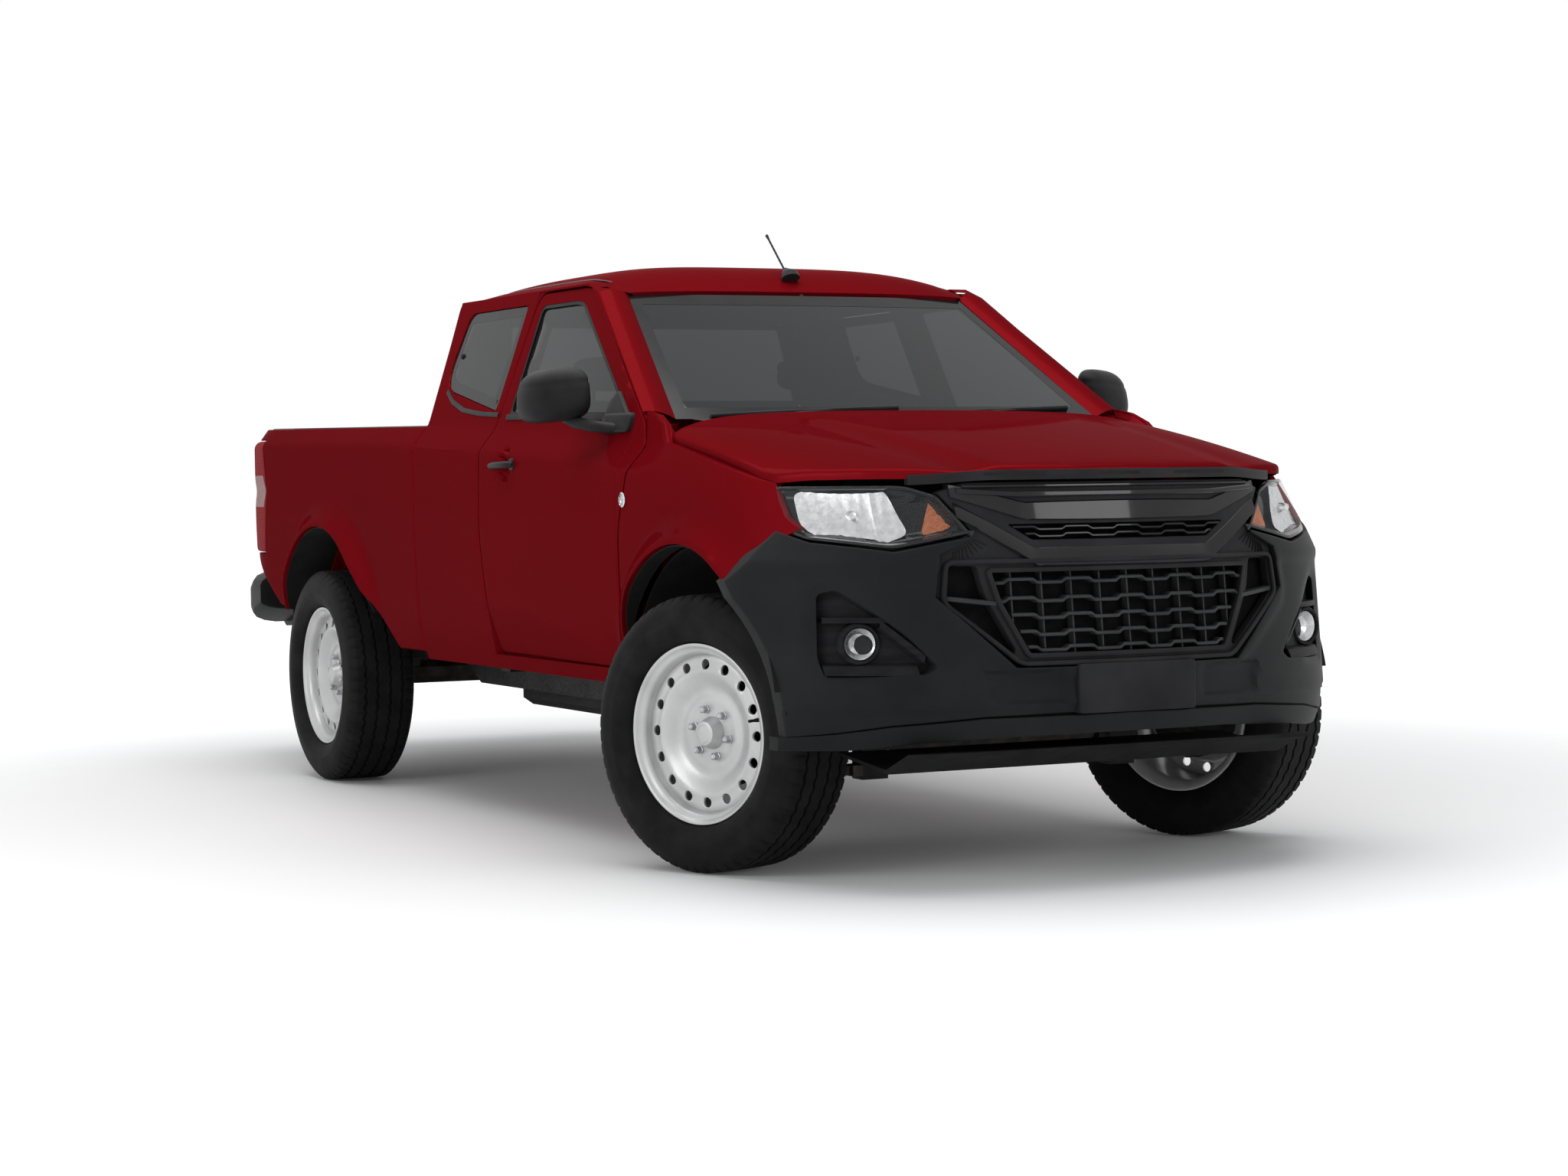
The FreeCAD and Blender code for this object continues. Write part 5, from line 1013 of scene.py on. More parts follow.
for way in (-1, 1):
    y = np.linspace(0.376, 0.500, 14)
    bars.append(lattice([places(nose_x(y, 0.738 + up) - back, way * y, 0.738 + up + 0.12 * (y - y[0]))
                         for up, back in ((-0.007, 0.038), (-0.005, 0.012), (0.005, 0.008), (0.007, 0.014),
                                          (0.007, 0.038))]))
bar_finish = finish("lattice_plastic", (0.034, 0.035, 0.036), (0.048, 0.049, 0.050), 8.0, (0.3, 0.42), 0.1, 600.0)
bar_piece = mesh_object("grille_lattice", bars, bar_finish)
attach(bar_piece, "truck")
rims = []
for ring, height in ((hex_ring, 0.010), (low_hole, 0.004)):
    ring = turning(divided(ring, 0.012))
    rows = [(-0.006, 0.014), (-0.006, -height * 0.6), (-0.003, -height), (0.003, -height), (0.006, -height * 0.6),
            (0.006, 0.014)]
    rims.append(lattice([nose_skin(*shifted(ring, way).T, down + 0.006) for way, down in rows], wrap=True))
rim_piece = mesh_object("grille_frame", rims, black_trim)
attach(rim_piece, "truck")
# A near-black sheet across the whole grille opening, set behind the lattice, stands in for the shade inside the nose
# and partly hides the radiator: painted shade.
flat, faces = filled([turning(divided(grille_ring, 0.02))], np.array((0.03, 0.03)))
shade_sheet = (nose_skin(flat[:, 0] * 0.985, flat[:, 1], 0.052), faces)
painted_shade_black = finish("grille_shade", (0.004, 0.004, 0.004), (0.007, 0.007, 0.007), 30.0, (0.7, 0.85), 0.4, 240.0)
shade_sheet_piece = mesh_object("grille_painted_shade_sheet", [shade_sheet], painted_shade_black, recalculate=False)
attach(shade_sheet_piece, "truck")
ribs = []
for way in (-1, 1):
    for index in range(9):
        share = index / 8
        a = np.array([0.418 + 0.056 * share, 0.902 - 0.030 * share])
        b = np.array([0.330 + 0.100 * share, 0.905 - 0.060 * share]) + (0.06, -0.018)
        t = np.linspace(0, 1, 6)[:, None]
        line = a * (1 - t) + b * t
        ribs.append(lattice([nose_skin(way * line[:, 0], line[:, 1] + up, back) for up, back in (
            (-0.0016, 0.013), (0.0, 0.009), (0.0016, 0.013))]))
rib_piece = mesh_object("grille_corner_ribs", ribs, black_trim, recalculate=False)
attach(rib_piece, "truck")


# ---------------------------------------------------------------- lamps
# A headlamp is a clear moulded cover over a black housing with one faceted reflector bowl and an amber
# turn lamp inboard. The fog lamps are small round units in the bumper's pockets.
LAMP = [(0.426, 0.918), (0.520, 0.899), (0.616, 0.880), (0.785, 0.906), (0.820, 0.938), (0.823, 0.972),
        (0.805, 1.046), (0.780, 1.0475), (0.588, 1.0455), (0.560, 1.0420), (0.500, 1.0185)]
LAMP_REACH = [0.004, 0.02, 0.02, 0.02, 0.01, 0.01, 0.008, 0.02, 0.02, 0.01, 0.006]
lamp_ring = shifted(turning(rounded(LAMP, LAMP_REACH)), 0.0025)
flat, faces = filled([turning(divided(lamp_ring, 0.012))], np.array((0.016, 0.012)))
cover = panel(nose_skin, lamp_ring, grid=(0.016, 0.012), roll=0.004, depth=0.012, proud=-0.002)
lamp_box = [(nose_skin(*flat.T, 0.020 + 0.030 * smoothstep(ring_gap(*flat.T, lamp_ring), 0.004, 0.030)), faces)]
frame_ring = turning(divided(lamp_ring, 0.010))
frame_rows = [(0.0, 0.006), (0.007, 0.006), (0.010, 0.016), (0.012, 0.030)]
lamp_box.append(lattice([nose_skin(*shifted(frame_ring, way).T, down) for way, down in frame_rows], wrap=True))


def reflector(ring, centre, deep, facets):
    """A bowl over an outline: a paraboloid about a centre, broken into fine upright and level facets."""
    flat, faces = filled([turning(divided(ring, 0.008))], np.array((0.008, 0.008)))
    y, z = flat.T
    away = np.hypot((y - centre[0]) * 0.8, z - centre[1])
    bowl = deep * (1 - np.clip(away / 0.125, 0, 1) ** 2)
    cuts = 0.0022 * (np.abs(np.sin((y - centre[0]) * facets)) + 0.5 * np.abs(np.sin((z - centre[1]) * facets * 1.3)))
    return nose_skin(y, z, 0.014 + bowl + cuts), faces


bowl_ring = rounded([(0.566, 0.918), (0.628, 0.892), (0.742, 0.906), (0.775, 0.940), (0.765, 1.030), (0.600, 1.034)],
                    0.020)
amber_ring = rounded([(0.450, 0.925), (0.522, 0.908), (0.535, 0.920), (0.505, 1.008), (0.492, 1.006)], 0.008)
amber, nodes, links, shader = wired("amber_reflector")
place = new_node(nodes, "TexCoord")
cells = new_node(nodes, "TexVoronoi", {"Scale": 130.0})
glow = two_tone(nodes, (0.50, 0.10, 0.02), (0.56, 0.24, 0.13))
link_nodes(links, (place, "Object", cells, "Vector"), (cells, "Distance", glow, "Fac"),
                  (glow, "Color", shader, "Base Color"))
set_inputs(shader, {"Metallic": 0.6, "Roughness": 0.2})
bowl_silver = finish("bowl_silver", (0.66, 0.67, 0.68), (0.84, 0.85, 0.86), 55.0, (0.24, 0.38), 0.3, 120.0, metal=1.0)
BOWL = (0.672, 0.968)
fog_place = (nose_x(*FOG) - 0.030, *FOG)
for side, turn in HANDS:
    cover_piece = mesh_object(f"headlamp_cover_{side}", turn(cover), lens_clear)
    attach(cover_piece, "truck")
    box_piece = mesh_object(f"headlamp_housing_{side}", turn(lamp_box), gloss_black, recalculate=False)
    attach(box_piece, "truck")
    bulb = turned([(0.0, 0.030), (0.009, 0.027), (0.012, 0.012), (0.012, -0.012), (0.024, -0.018), (0.024, -0.030)],
                  (nose_x(*BOWL) - 0.050, *BOWL), (1, 0.25, 0), 24)
    fog_bowl = turned([(0.0, -0.020), (0.012, -0.019), (0.026, -0.012), (0.036, 0.000), (0.0405, 0.004)],
                      fog_place, (1, 0.25, 0), 48)
    bowls = [reflector(bowl_ring, BOWL, 0.030, 150.0), bulb, fog_bowl]
    bowl_piece = mesh_object(f"headlamp_reflector_{side}", turn(bowls), bowl_silver, sharp=12.0, recalculate=False)
    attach(bowl_piece, "truck")
    turn_piece = mesh_object(f"turn_lamp_{side}", turn([reflector(amber_ring, (0.490, 0.955), 0.020, 260.0)]), amber,
                             sharp=12.0, recalculate=False)
    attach(turn_piece, "truck")
    fog_lens = turned([(0.0405, 0.002), (0.036, 0.008), (0.020, 0.0115), (0.0, 0.0125)],
                      fog_place, (1, 0.25, 0), 48)
    fog_piece = mesh_object(f"fog_lens_{side}", turn([fog_lens]), lens_clear)
    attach(fog_piece, "truck")
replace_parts(bpy.data.objects["headlamp_cover_left"], "headlamps")


# ---------------------------------------------------------------- cab glass, wipers and antenna
# The windscreen and the fixed windows are tinted laminated glass bonded in, with a black ceramic band
# printed round their edges. Two flat wipers park on the screen, and a short mast leans back on the roof.
def screen_half(rise):
    """Half width of the windscreen, narrowing straight from the cowl at 0 to the roof at 1."""
    return 0.7054 - 0.1272 * rise


def screen_point(share, rise, lift=0.0):
    """The windscreen: a parabola across at each height, its corners, centre and half width running straight
    from the cowl to the roof, lifted forward by a little."""
    centre = 1.372 - 0.630 * rise
    corner = 1.320 - 0.614 * rise
    return places(centre - (centre - corner) * share ** 2 + lift, screen_half(rise) * share, 1.240 + 0.394 * rise)


def rimmed(surface, low, high, width):
    """A band round the edge of a surface of two shares, four strips with joined corners."""
    (a0, a1), (b0, b1) = low, high
    wide, tall = width
    outer = np.array([(a0, b0), (a1, b0), (a1, b1), (a0, b1)], float)
    inner = np.array([(a0 + wide, b0 + tall), (a1 - wide, b0 + tall), (a1 - wide, b1 - tall), (a0 + wide, b1 - tall)])
    strips = []
    t = np.linspace(0, 1, 25)[:, None]
    for k in range(4):
        rows = np.stack([edge[k] * (1 - t) + edge[(k + 1) % 4] * t for edge in (outer, inner)])
        strips.append(lattice(surface(rows[..., 0], rows[..., 1])))
    return strips


share, rise = np.meshgrid(np.linspace(-1, 1, 41), np.linspace(0, 1, 21), indexing="ij")
screen = mesh_object("windscreen", [lattice(screen_point(share, rise, 0.001))], glass_finish, recalculate=False)
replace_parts(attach(screen, "truck"), "cab_glass")
ceramic = finish("black_ceramic", (0.006, 0.006, 0.007), (0.010, 0.010, 0.011), 9.0, (0.10, 0.16), 0.0, 400.0)
bands = rimmed(lambda a, b: screen_point(a, b, 0.0022), (-1, 1), (0, 1), (0.058, 0.085))
quarter_pane = panel(side_skin, shifted(turning(quarter_ring), 0.0035), grid=(0.04, 0.03), roll=0.001, depth=0.014,
                     proud=-0.004)
quarter_band = [closed_strip(side_skin, quarter_ring, 0.002, 0.034, 0.000, lift=-0.0035)]


def rear_window(y, z, depth):
    """The rear window: a flat plane that leans back with height."""
    return places(-0.378 - 0.2041 * (z - 1.280) + depth, y, z)


rear_ring = rounded([(-0.560, 1.320), (0.560, 1.320), (0.520, 1.610), (-0.520, 1.610)], 0.03)
rear_pane = panel(rear_window, rear_ring, grid=(0.08, 0.06), roll=0.002, depth=0.008)
rear_band = [closed_strip(rear_window, rear_ring, -0.008, 0.020, 0.003)]
fixed = mesh_object("fixed_windows", both_sides(quarter_pane) + rear_pane, glass_finish)
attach(fixed, "truck")
band_piece = mesh_object("glass_bands", bands, ceramic, recalculate=False)
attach(band_piece, "truck")
side_bands = mesh_object("window_bands", both_sides(quarter_band) + rear_band, ceramic)
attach(side_bands, "truck")
latch = [turned([(0.0, 0.006), (0.008, 0.005), (0.010, -0.004)],
                side_skin(np.array([-0.285]), np.array([1.485]), 0.002)[0], (0, 1, 0), 20)]
belt = [sill_strip([(0.222, 1.2765), (0.06, 1.284), (-0.10, 1.300), (-0.22, 1.330), (-0.30, 1.366)], -0.004, 0.010,
                   0.006)]
quarter_trim = mesh_object("quarter_window_trim", both_sides(latch + belt), black_trim)
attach(quarter_trim, "truck")

wiper_parts = []
for park, tip in ((-0.600, 0.010), (0.060, 0.620)):
    y = np.linspace(park, tip, 24)
    rise = 0.020 + 0.055 * np.linspace(0, 1, 24) ** 0.8
    blade_line = screen_point(y / screen_half(rise), rise, 0.013)
    wiper_parts.append(tube(blade_line, 0.006 * np.linspace(0.8, 1, 24), 8, 1.3))
    wiper_parts.append(lattice([screen_point(y / screen_half(rise), rise, 0.004), blade_line]))
    root = np.array([1.345 if abs(park) > 0.3 else 1.372, park, 1.208])
    reach = blade_line[15]
    t = np.linspace(0, 1, 10)[:, None]
    arm = root * (1 - t) + reach * t + np.array([0.022, 0, 0.012]) * (4 * t * (1 - t))
    wiper_parts.append(tube(arm, np.linspace(0.009, 0.005, 10), 8, 0.6))
    wiper_parts.append(turned([(0.0, 0.012), (0.010, 0.011), (0.013, 0.0), (0.013, -0.014)], root, (0, 0, 1), 20))
wipers = mesh_object("wiper_blades", wiper_parts, black_trim)
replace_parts(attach(wipers, "truck"), "wipers")
y = np.linspace(-0.66, 0.66, 60)
edge_x = np.interp(np.abs(y), [0, 0.15, 0.30, 0.50, 0.68], [1.409, 1.411, 1.421, 1.439, 1.461])
glass_x = screen_point(y / screen_half(0.0), np.zeros(60))[:, 0]
cowl_rows = [places(edge_x - 0.006, y, 1.190), places(edge_x - 0.006, y, 1.226), places(edge_x - 0.012, y, 1.230),
             places(glass_x + 0.022, y, 1.238), places(glass_x + 0.001, y, 1.2405)]
cowl = mesh_object("cowl_cover", [lattice(cowl_rows)], black_trim)
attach(cowl, "truck")

mast_path = np.array([0.636, 0, 1.712]) + np.linspace(0, 1, 22)[:, None] * np.array([-0.135, 0, 0.129])
mast_radii = np.where(np.arange(22) > 19, 0.0046, 0.0030) + 0.0004 * (np.arange(22) % 2)
mast_foot = [tube([(0.668, 0, 1.694), (0.660, 0, 1.706), (0.642, 0, 1.716), (0.628, 0, 1.726)],
                  [0.031, 0.028, 0.016, 0.007], 20, 0.8)]
mast = mesh_object("antenna_mast", [tube(mast_path, mast_radii, 10)] + mast_foot, black_trim)
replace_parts(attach(mast, "truck"), "roof_antenna")


# ---------------------------------------------------------------- load bed
# The bed is a welded steel box on the frame. Its double-walled sides have a swollen arch lip, tall
# lamps let into their rear corners, and a tailgate between them on two pins at the floor.
BED_FRONT, RAIL_FRONT = -0.397, 1.2555
BED_REAR, RAIL_REAR = -2.288, 1.283
BED = np.concatenate([
    [(BED_FRONT, 0.506), (BED_FRONT, RAIL_FRONT), (BED_REAR, RAIL_REAR), (BED_REAR, 1.241), (-2.081, 1.241),
     (-2.031, 1.050), (-2.071, 0.809), (BED_REAR, 0.809), (BED_REAR, 0.800), (-2.050, 0.690), (-1.930, 0.618),
     (-1.790, 0.606), (-1.772, 0.605)],
    arc(REAR_ARCH, ARCH_RADIUS, 158.0, 34.0, 60),
    [(-0.740, 0.574), (-0.655, 0.506)],
])
bed_side = panel(side_skin, BED, grid=(0.022, 0.012), roll=0.004, depth=0.118, back=True)
bed_piece = mesh_object("bed_side_skins", both_sides(bed_side), paint)
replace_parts(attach(bed_piece, "truck"), "bed_sides")
x = np.linspace(-2.285, -0.402, 60)
rail_z = 1.2557 + (x - BED_FRONT) * (RAIL_REAR - RAIL_FRONT) / (BED_REAR - BED_FRONT)
cap_rows = [side_skin(x, rail_z, inward) + (0, 0, rise)
            for inward, rise in ((0.018, 0.0002), (0.024, 0.0035), (0.100, 0.0035), (0.108, 0.0002))]
caps = mesh_object("bed_rail_caps", both_sides([lattice(cap_rows)]), grained)
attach(caps, "truck")

shields = []
for centre, start, end, inner in ((REAR_ARCH, 158.0, 24.0, 0.575), (FRONT_ARCH, 14.0, 164.0, 0.868)):
    rows = []
    for way, lower in ((0, 0.0025), (1, 0.0025), (1, 0.0060), (0, 0.0060)):
        line = arc(centre, ARCH_RADIUS - lower, start, end, 60)
        edge = side_y(line[:, 0], line[:, 1]) - 0.014
        rows.append(places(line[:, 0], inner if way else edge, line[:, 1]))
    shields.append(lattice(rows + rows[:1]))
low, high = arc(REAR_ARCH, 0.300, 158.0, 24.0, 60), arc(REAR_ARCH, ARCH_RADIUS - 0.003, 158.0, 24.0, 60)
rows = [places(line[:, 0], y, line[:, 1]) for line, y in ((low, 0.575), (high, 0.575), (high, 0.571), (low, 0.571))]
shields.append(lattice(rows + rows[:1]))
shield_piece = mesh_object("arch_shields", both_sides(shields), liner_plastic)
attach(shield_piece, "truck")

TAIL = [(-2.308, 0.814), (-2.308, 1.236), (-2.083, 1.236), (-2.034, 1.050), (-2.073, 0.814)]
tail_ring = rounded(TAIL, [0.02, 0.02, 0.012, 0.05, 0.012])


def tail_skin(x, z, depth):
    """The lamp's lens: it stands proud of the bed side and wraps round the corner to the back, waisted in the
    middle."""
    waist = 0.006 * np.exp(-((z - 1.045) / 0.035) ** 2)
    return places(x, side_y(np.maximum(x, -2.290), z) + 0.004 - waist - depth, z)


lens_rose, nodes, links, shader = wired("lens_rose")
place = new_node(nodes, "TexCoord")
cells = new_node(nodes, "TexWave", {"Scale": 60.0}, bands_direction="Z")
tone = two_tone(nodes, (0.17, 0.012, 0.015), (0.30, 0.045, 0.048))
link_nodes(links, (place, "Object", cells, "Vector"), (cells, "Fac", tone, "Fac"),
                  (tone, "Color", shader, "Base Color"))
set_inputs(shader, {"Roughness": 0.09, "Specular IOR Level": 0.0, "Coat Weight": 0.03})
tail = panel(tail_skin, tail_ring, grid=(0.016, 0.012), roll=0.006, depth=0.034, back=True)
tails = mesh_object("tail_lamp_lenses", both_sides(tail), lens_rose)
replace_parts(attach(tails, "truck"), "tail_lamps")
clear_ring = rounded([(-2.300, 0.985), (-2.300, 1.105), (-2.060, 1.105), (-2.042, 1.050), (-2.055, 0.985)], 0.01)
reverse = panel(lambda x, z, depth: tail_skin(x, z, depth - 0.0015), clear_ring, grid=(0.03, 0.02), roll=0.002,
                depth=0.004)
reverse_finish = finish("lens_frost", (0.30, 0.19, 0.19), (0.38, 0.25, 0.25), 80.0, (0.2, 0.3), 0.3, 160.0, sheen=0.0,
                        coat=0.03)
reverse_piece = mesh_object("reverse_lamp_lenses", both_sides(reverse), reverse_finish)
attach(reverse_piece, "truck")

gate_z = np.array([0.760, 0.850, 0.950, 1.050, 1.150, 1.216, 1.270])
gate_half = side_y(np.full(7, -2.290), gate_z) - 0.1262
gate_ring = np.concatenate([np.stack([gate_half, gate_z], 1), np.stack([-gate_half, gate_z], 1)[::-1]])
gate_ring = rounded(gate_ring, 0.012, 3)
STAMP = rounded([(-0.600, 0.840), (0.600, 0.840), (0.585, 1.085), (-0.585, 1.085)], 0.05)
HANDLE_WELL = rounded([(-0.118, 1.132), (0.118, 1.132), (0.118, 1.198), (-0.118, 1.198)], 0.012)


def gate_skin(y, z, depth):
    """The tailgate's outer skin with a wide shallow stamping and the handle's well."""
    stamp = 0.008 * smoothstep(ring_gap(y, z, STAMP), 0.0, 0.020)
    well = 0.020 * smoothstep(ring_gap(y, z, HANDLE_WELL), 0.0, 0.006)
    return places(-2.2895 + depth + (stamp + well) * (depth < 0.03), y, z)


gate = panel(gate_skin, gate_ring, grid=(0.016, 0.012), roll=0.004, depth=0.0485, back=True)
for sign in (-1, 1):
    gate.append(tube([(-2.260, sign * y, 0.778) for y in (0.700, 0.745, 0.782)], 0.007, 14))
gate_piece = mesh_object("tailgate_shell", gate, paint)
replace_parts(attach(gate_piece, "tailgate"), "tailgate")
pull = [rounded_box((-2.278, 0.0, 1.166), (0.014, 0.190, 0.040), 6.0),
        rounded_box((-2.2745, 0.0, 1.165), (0.008, 0.228, 0.058), 6.0)]
pull_piece = mesh_object("tailgate_handle", pull, dark_plastic)
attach(pull_piece, "tailgate")

STEP = [(-2.632, 0.548), (-2.632, 0.634), (-2.610, 0.650), (-2.350, 0.650), (-2.336, 0.640), (-2.336, 0.566),
        (-2.560, 0.506)]
END = [(-2.588, 0.562), (-2.588, 0.684), (-2.520, 0.734), (-2.326, 0.734), (-2.326, 0.584), (-2.540, 0.524)]


def carried(outline, spans):
    """A side outline carried across through stations of (y, share of its size about its front end)."""
    ring = turning(rounded(outline, 0.010, 4))
    pivot = np.array([outline[3][0], np.mean([z for _, z in outline])])
    rows = []
    for y, scale in spans:
        x, z = (pivot + (ring - pivot) * scale).T
        rows.append(places(x, y, z))
    return lattice(rows, wrap=True)


step = carried(STEP, [(-0.652, 0.0), (-0.652, 0.97), (-0.648, 1.0), (0.648, 1.0), (0.652, 0.97), (0.652, 0.0)])
corner = carried(END, [(0.652, 0.0), (0.652, 0.98), (0.656, 1.0), (0.700, 1.0), (0.750, 0.93), (0.790, 0.80),
                       (0.815, 0.62), (0.824, 0.45), (0.824, 0.0)])
treads = []
for row in range(7):
    for y in (-0.42, -0.14, 0.14, 0.42):
        x = -2.585 + 0.033 * row
        treads.append(rounded_box((x, y, 0.6505), (0.014, 0.250, 0.005), 4.0, rows=6, columns=12))
rear_bumper = mesh_object("rear_step_bumper", [step] + both_sides([corner]) + treads, grained)
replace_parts(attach(rear_bumper, "truck"), "rear_bumper")
plate_well = panel(lambda y, z, depth: places(-TRUCK_END + depth, y, z),
                   rounded([(-0.175, 0.556), (0.175, 0.556), (0.175, 0.628), (-0.175, 0.628)], 0.006),
                   grid=(0.05, 0.03), roll=0.001, depth=0.004)
well_piece = mesh_object("rear_plate_panel", plate_well, black_trim)
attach(well_piece, "truck")


# ---------------------------------------------------------------- wheels
# Each wheel is a pressed steel disc welded into a rolled rim and sprayed silver, held by six nuts, with
# a small hub cap and a rubber valve. The tyres are highway ones with zigzag grooves and plain walls.
tread_rubber = finish("tread_rubber", (0.008, 0.008, 0.008), (0.014, 0.014, 0.0135), 14.0, (0.62, 0.78), 0.5, 420.0)
wheel_silver = finish("wheel_silver", (0.50, 0.50, 0.50), (0.60, 0.60, 0.60), 7.0, (0.30, 0.40), 0.12, 900.0,
                      metal=0.35, coat=0.25)
nut_steel = finish("nut_steel", (0.38, 0.38, 0.39), (0.52, 0.52, 0.53), 60.0, (0.25, 0.4), 0.2, 400.0, metal=0.9)
SEGMENTS, ZIGZAGS = 360, 60
TREAD_RADIUS, TREAD_HALF = 0.3782, 0.096
around = np.linspace(0, 2 * math.pi, SEGMENTS, endpoint=False)
zigzag = 1 - 4 * np.abs(np.mod(around * ZIGZAGS / (2 * math.pi), 1.0) - 0.5)
notch = (np.arange(SEGMENTS) % 6 == 0).astype(float)
WALL = [(0.2235, 0.0700), (0.2280, 0.0800), (0.2400, 0.0880), (0.2475, 0.0915), (0.2500, 0.0990), (0.2540, 0.1070),
        (0.2620, 0.1130), (0.2760, 0.1215), (0.2920, 0.1262), (0.3000, 0.1272), (0.3030, 0.1275), (0.3060, 0.1270),
        (0.3200, 0.1256), (0.3380, 0.1228), (0.3480, 0.1195), (0.3570, 0.1150), (0.3660, 0.1085), (0.3730, 0.1020)]


def tread_row(radius, y, sway=0.0, cut=0.0):
    """A ring of the tread at a radius and place across, swaying with the zigzag and notched by a depth."""
    r = radius - cut * notch
    return places(r * np.sin(around), y + sway * zigzag, r * np.cos(around))


def crown(y):
    """Radius of the tread at a place across: it falls by a fourth power to the shoulders."""
    return TREAD_RADIUS - 0.0012 * (y / TREAD_HALF) ** 4


def wall_rows(profile, side):
    """Rings of a side wall, notched where it meets the tread."""
    return [tread_row(radius, side * y, cut=0.005 if radius > 0.364 else 0.0) for radius, y in profile]


rows = wall_rows(WALL, -1) + [tread_row(crown(TREAD_HALF), -TREAD_HALF, cut=0.006)]
for y, sway in ((-0.0675, -0.0034), (-0.0240, 0.0030), (0.0240, -0.0030), (0.0675, 0.0034)):
    rows += [tread_row(crown(y) - drop, y + offset, sway)
             for offset, drop in ((-0.0052, 0.0), (-0.0040, 0.0085), (0.0040, 0.0085), (0.0052, 0.0))]
rows += [tread_row(crown(TREAD_HALF), TREAD_HALF, cut=0.006)] + wall_rows(WALL[::-1], 1)
tyre_surface = lattice(rows, wrap=True)


def disc_skin(x, z, depth):
    """The wheel disc: a level ring with the vents, a bowl that falls in by a smooth step, and a level hub seat
    with a raised ring round the bore."""
    radius = np.hypot(x, z)
    y = 0.0400 + 0.0225 * smoothstep(radius, 0.112, 0.166) + 0.004 * np.exp(-((radius - 0.170) / 0.008) ** 2)
    y = y - 0.004 * smoothstep(radius, 0.200, 0.2145) + 0.003 * np.exp(-((radius - 0.092) / 0.010) ** 2)
    return places(x, y - depth, z)


def on_circle(radius, angle, y=0.0):
    """A place on a circle about the wheel's axis, its angle counted from the top."""
    return np.array([radius * math.sin(angle), y, radius * math.cos(angle)])


VENT_CIRCLE, VENT_RADIUS, NUT_CIRCLE = 0.188, 0.0140, 0.066
vents = [arc(on_circle(VENT_CIRCLE, a)[::2], VENT_RADIUS, 0, 345, 24)
         for a in np.linspace(0, 2 * math.pi, 16, endpoint=False)]
disc = panel(disc_skin, arc((0, 0), 0.2150, 0, 358, 120), [arc((0, 0), 0.040, 0, 352, 40)] + vents,
             grid=(0.009, 0.009), roll=0.0015, depth=0.007)
RIM = [(0.2140, -0.060), (0.2140, 0.056), (0.2145, 0.064), (0.2160, 0.074), (0.2190, 0.0815), (0.2245, 0.0860),
       (0.2300, 0.0885), (0.2345, 0.0925), (0.2380, 0.0975), (0.2425, 0.0998), (0.2458, 0.0985), (0.2462, 0.0945),
       (0.2430, 0.0915), (0.2370, 0.0880), (0.2300, 0.0790), (0.2226, 0.0720), (0.2226, -0.0720), (0.2300, -0.0790),
       (0.2400, -0.0900), (0.2462, -0.0945), (0.2455, -0.0995), (0.2380, -0.0985), (0.2250, -0.0880),
       (0.2150, -0.0760), (0.2140, -0.060)]
rim_surface = [turned(RIM, (0, 0, 0), (0, 1, 0), 120)] + disc
nuts = []
for k in range(6):
    seat = on_circle(NUT_CIRCLE, k * math.pi / 3 + 0.3, 0.0405)
    nuts.append(turned([(0.0125, -0.001), (0.0125, 0.003), (0.0105, 0.004), (0.0105, 0.016), (0.0098, 0.0185),
                        (0.0060, 0.0215), (0.0, 0.0225)], seat, (0, 1, 0), 6))
cap = [turned([(0.0450, 0.0385), (0.0430, 0.0480), (0.0385, 0.0530), (0.0350, 0.0660), (0.0320, 0.0720),
               (0.0240, 0.0740), (0.0225, 0.0725), (0.0, 0.0728)], (0, 0, 0), (0, 1, 0), 60)]
VALVE_ANGLE = -1.35
valve_foot, valve_tip = on_circle(0.2130, VALVE_ANGLE, 0.066), on_circle(0.1960, VALVE_ANGLE, 0.098)
valve = [tube([valve_foot, valve_foot * 0.6 + valve_tip * 0.4, valve_foot * 0.4 + valve_tip * 0.6, valve_tip],
              [0.0065, 0.0055, 0.0040, 0.0042], 12)]
PARKED = math.radians(20.76)
AXLES = {"front": 1.750, "rear": -1.375}
AXLE_Z, WHEEL_Y, KINGPIN_Y = 0.378, 0.785, 0.745


def at_wheel(surfaces, end, sign):
    """Wheel surfaces, made about their own centre with the outside to +Y, set at a corner: turned round for the
    right side, and at the front turned about the kingpin by the parked angle."""
    centre = np.array([AXLES[end], sign * WHEEL_Y, AXLE_Z])
    pivot = np.array([AXLES["front"], sign * KINGPIN_Y, AXLE_Z])
    made = []
    for points, faces in surfaces:
        points = points * (sign, sign, 1) + centre
        if end == "front":
            c, s = math.cos(PARKED), math.sin(PARKED)
            points = (points - pivot) @ np.array([(c, s, 0), (-s, c, 0), (0, 0, 1)]) + pivot
        made.append((points, faces))
    return made


for end in ("front", "rear"):
    for side, sign in (("left", 1), ("right", -1)):
        corner, body = f"{end}_{side}", f"wheel_{end}_{side}"
        rubber = mesh_object(f"tyre_tread_{corner}", at_wheel([tyre_surface], end, sign), tread_rubber, sharp=40.0)
        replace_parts(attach(rubber, body), f"tyre_{corner}")
        metal = mesh_object(f"wheel_disc_{corner}", at_wheel(rim_surface, end, sign), wheel_silver, sharp=50.0)
        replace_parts(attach(metal, body), f"rim_{corner}")
        fixings = mesh_object(f"wheel_nuts_{corner}", at_wheel(nuts, end, sign), nut_steel, sharp=25.0)
        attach(fixings, body)
        cover = mesh_object(f"hub_cap_{corner}", at_wheel(cap, end, sign), wheel_silver)
        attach(cover, body)
        stem = mesh_object(f"valve_{corner}", at_wheel(valve, end, sign), seal_finish)
        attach(stem, body)
wear("spare_wheel", tread_rubber)


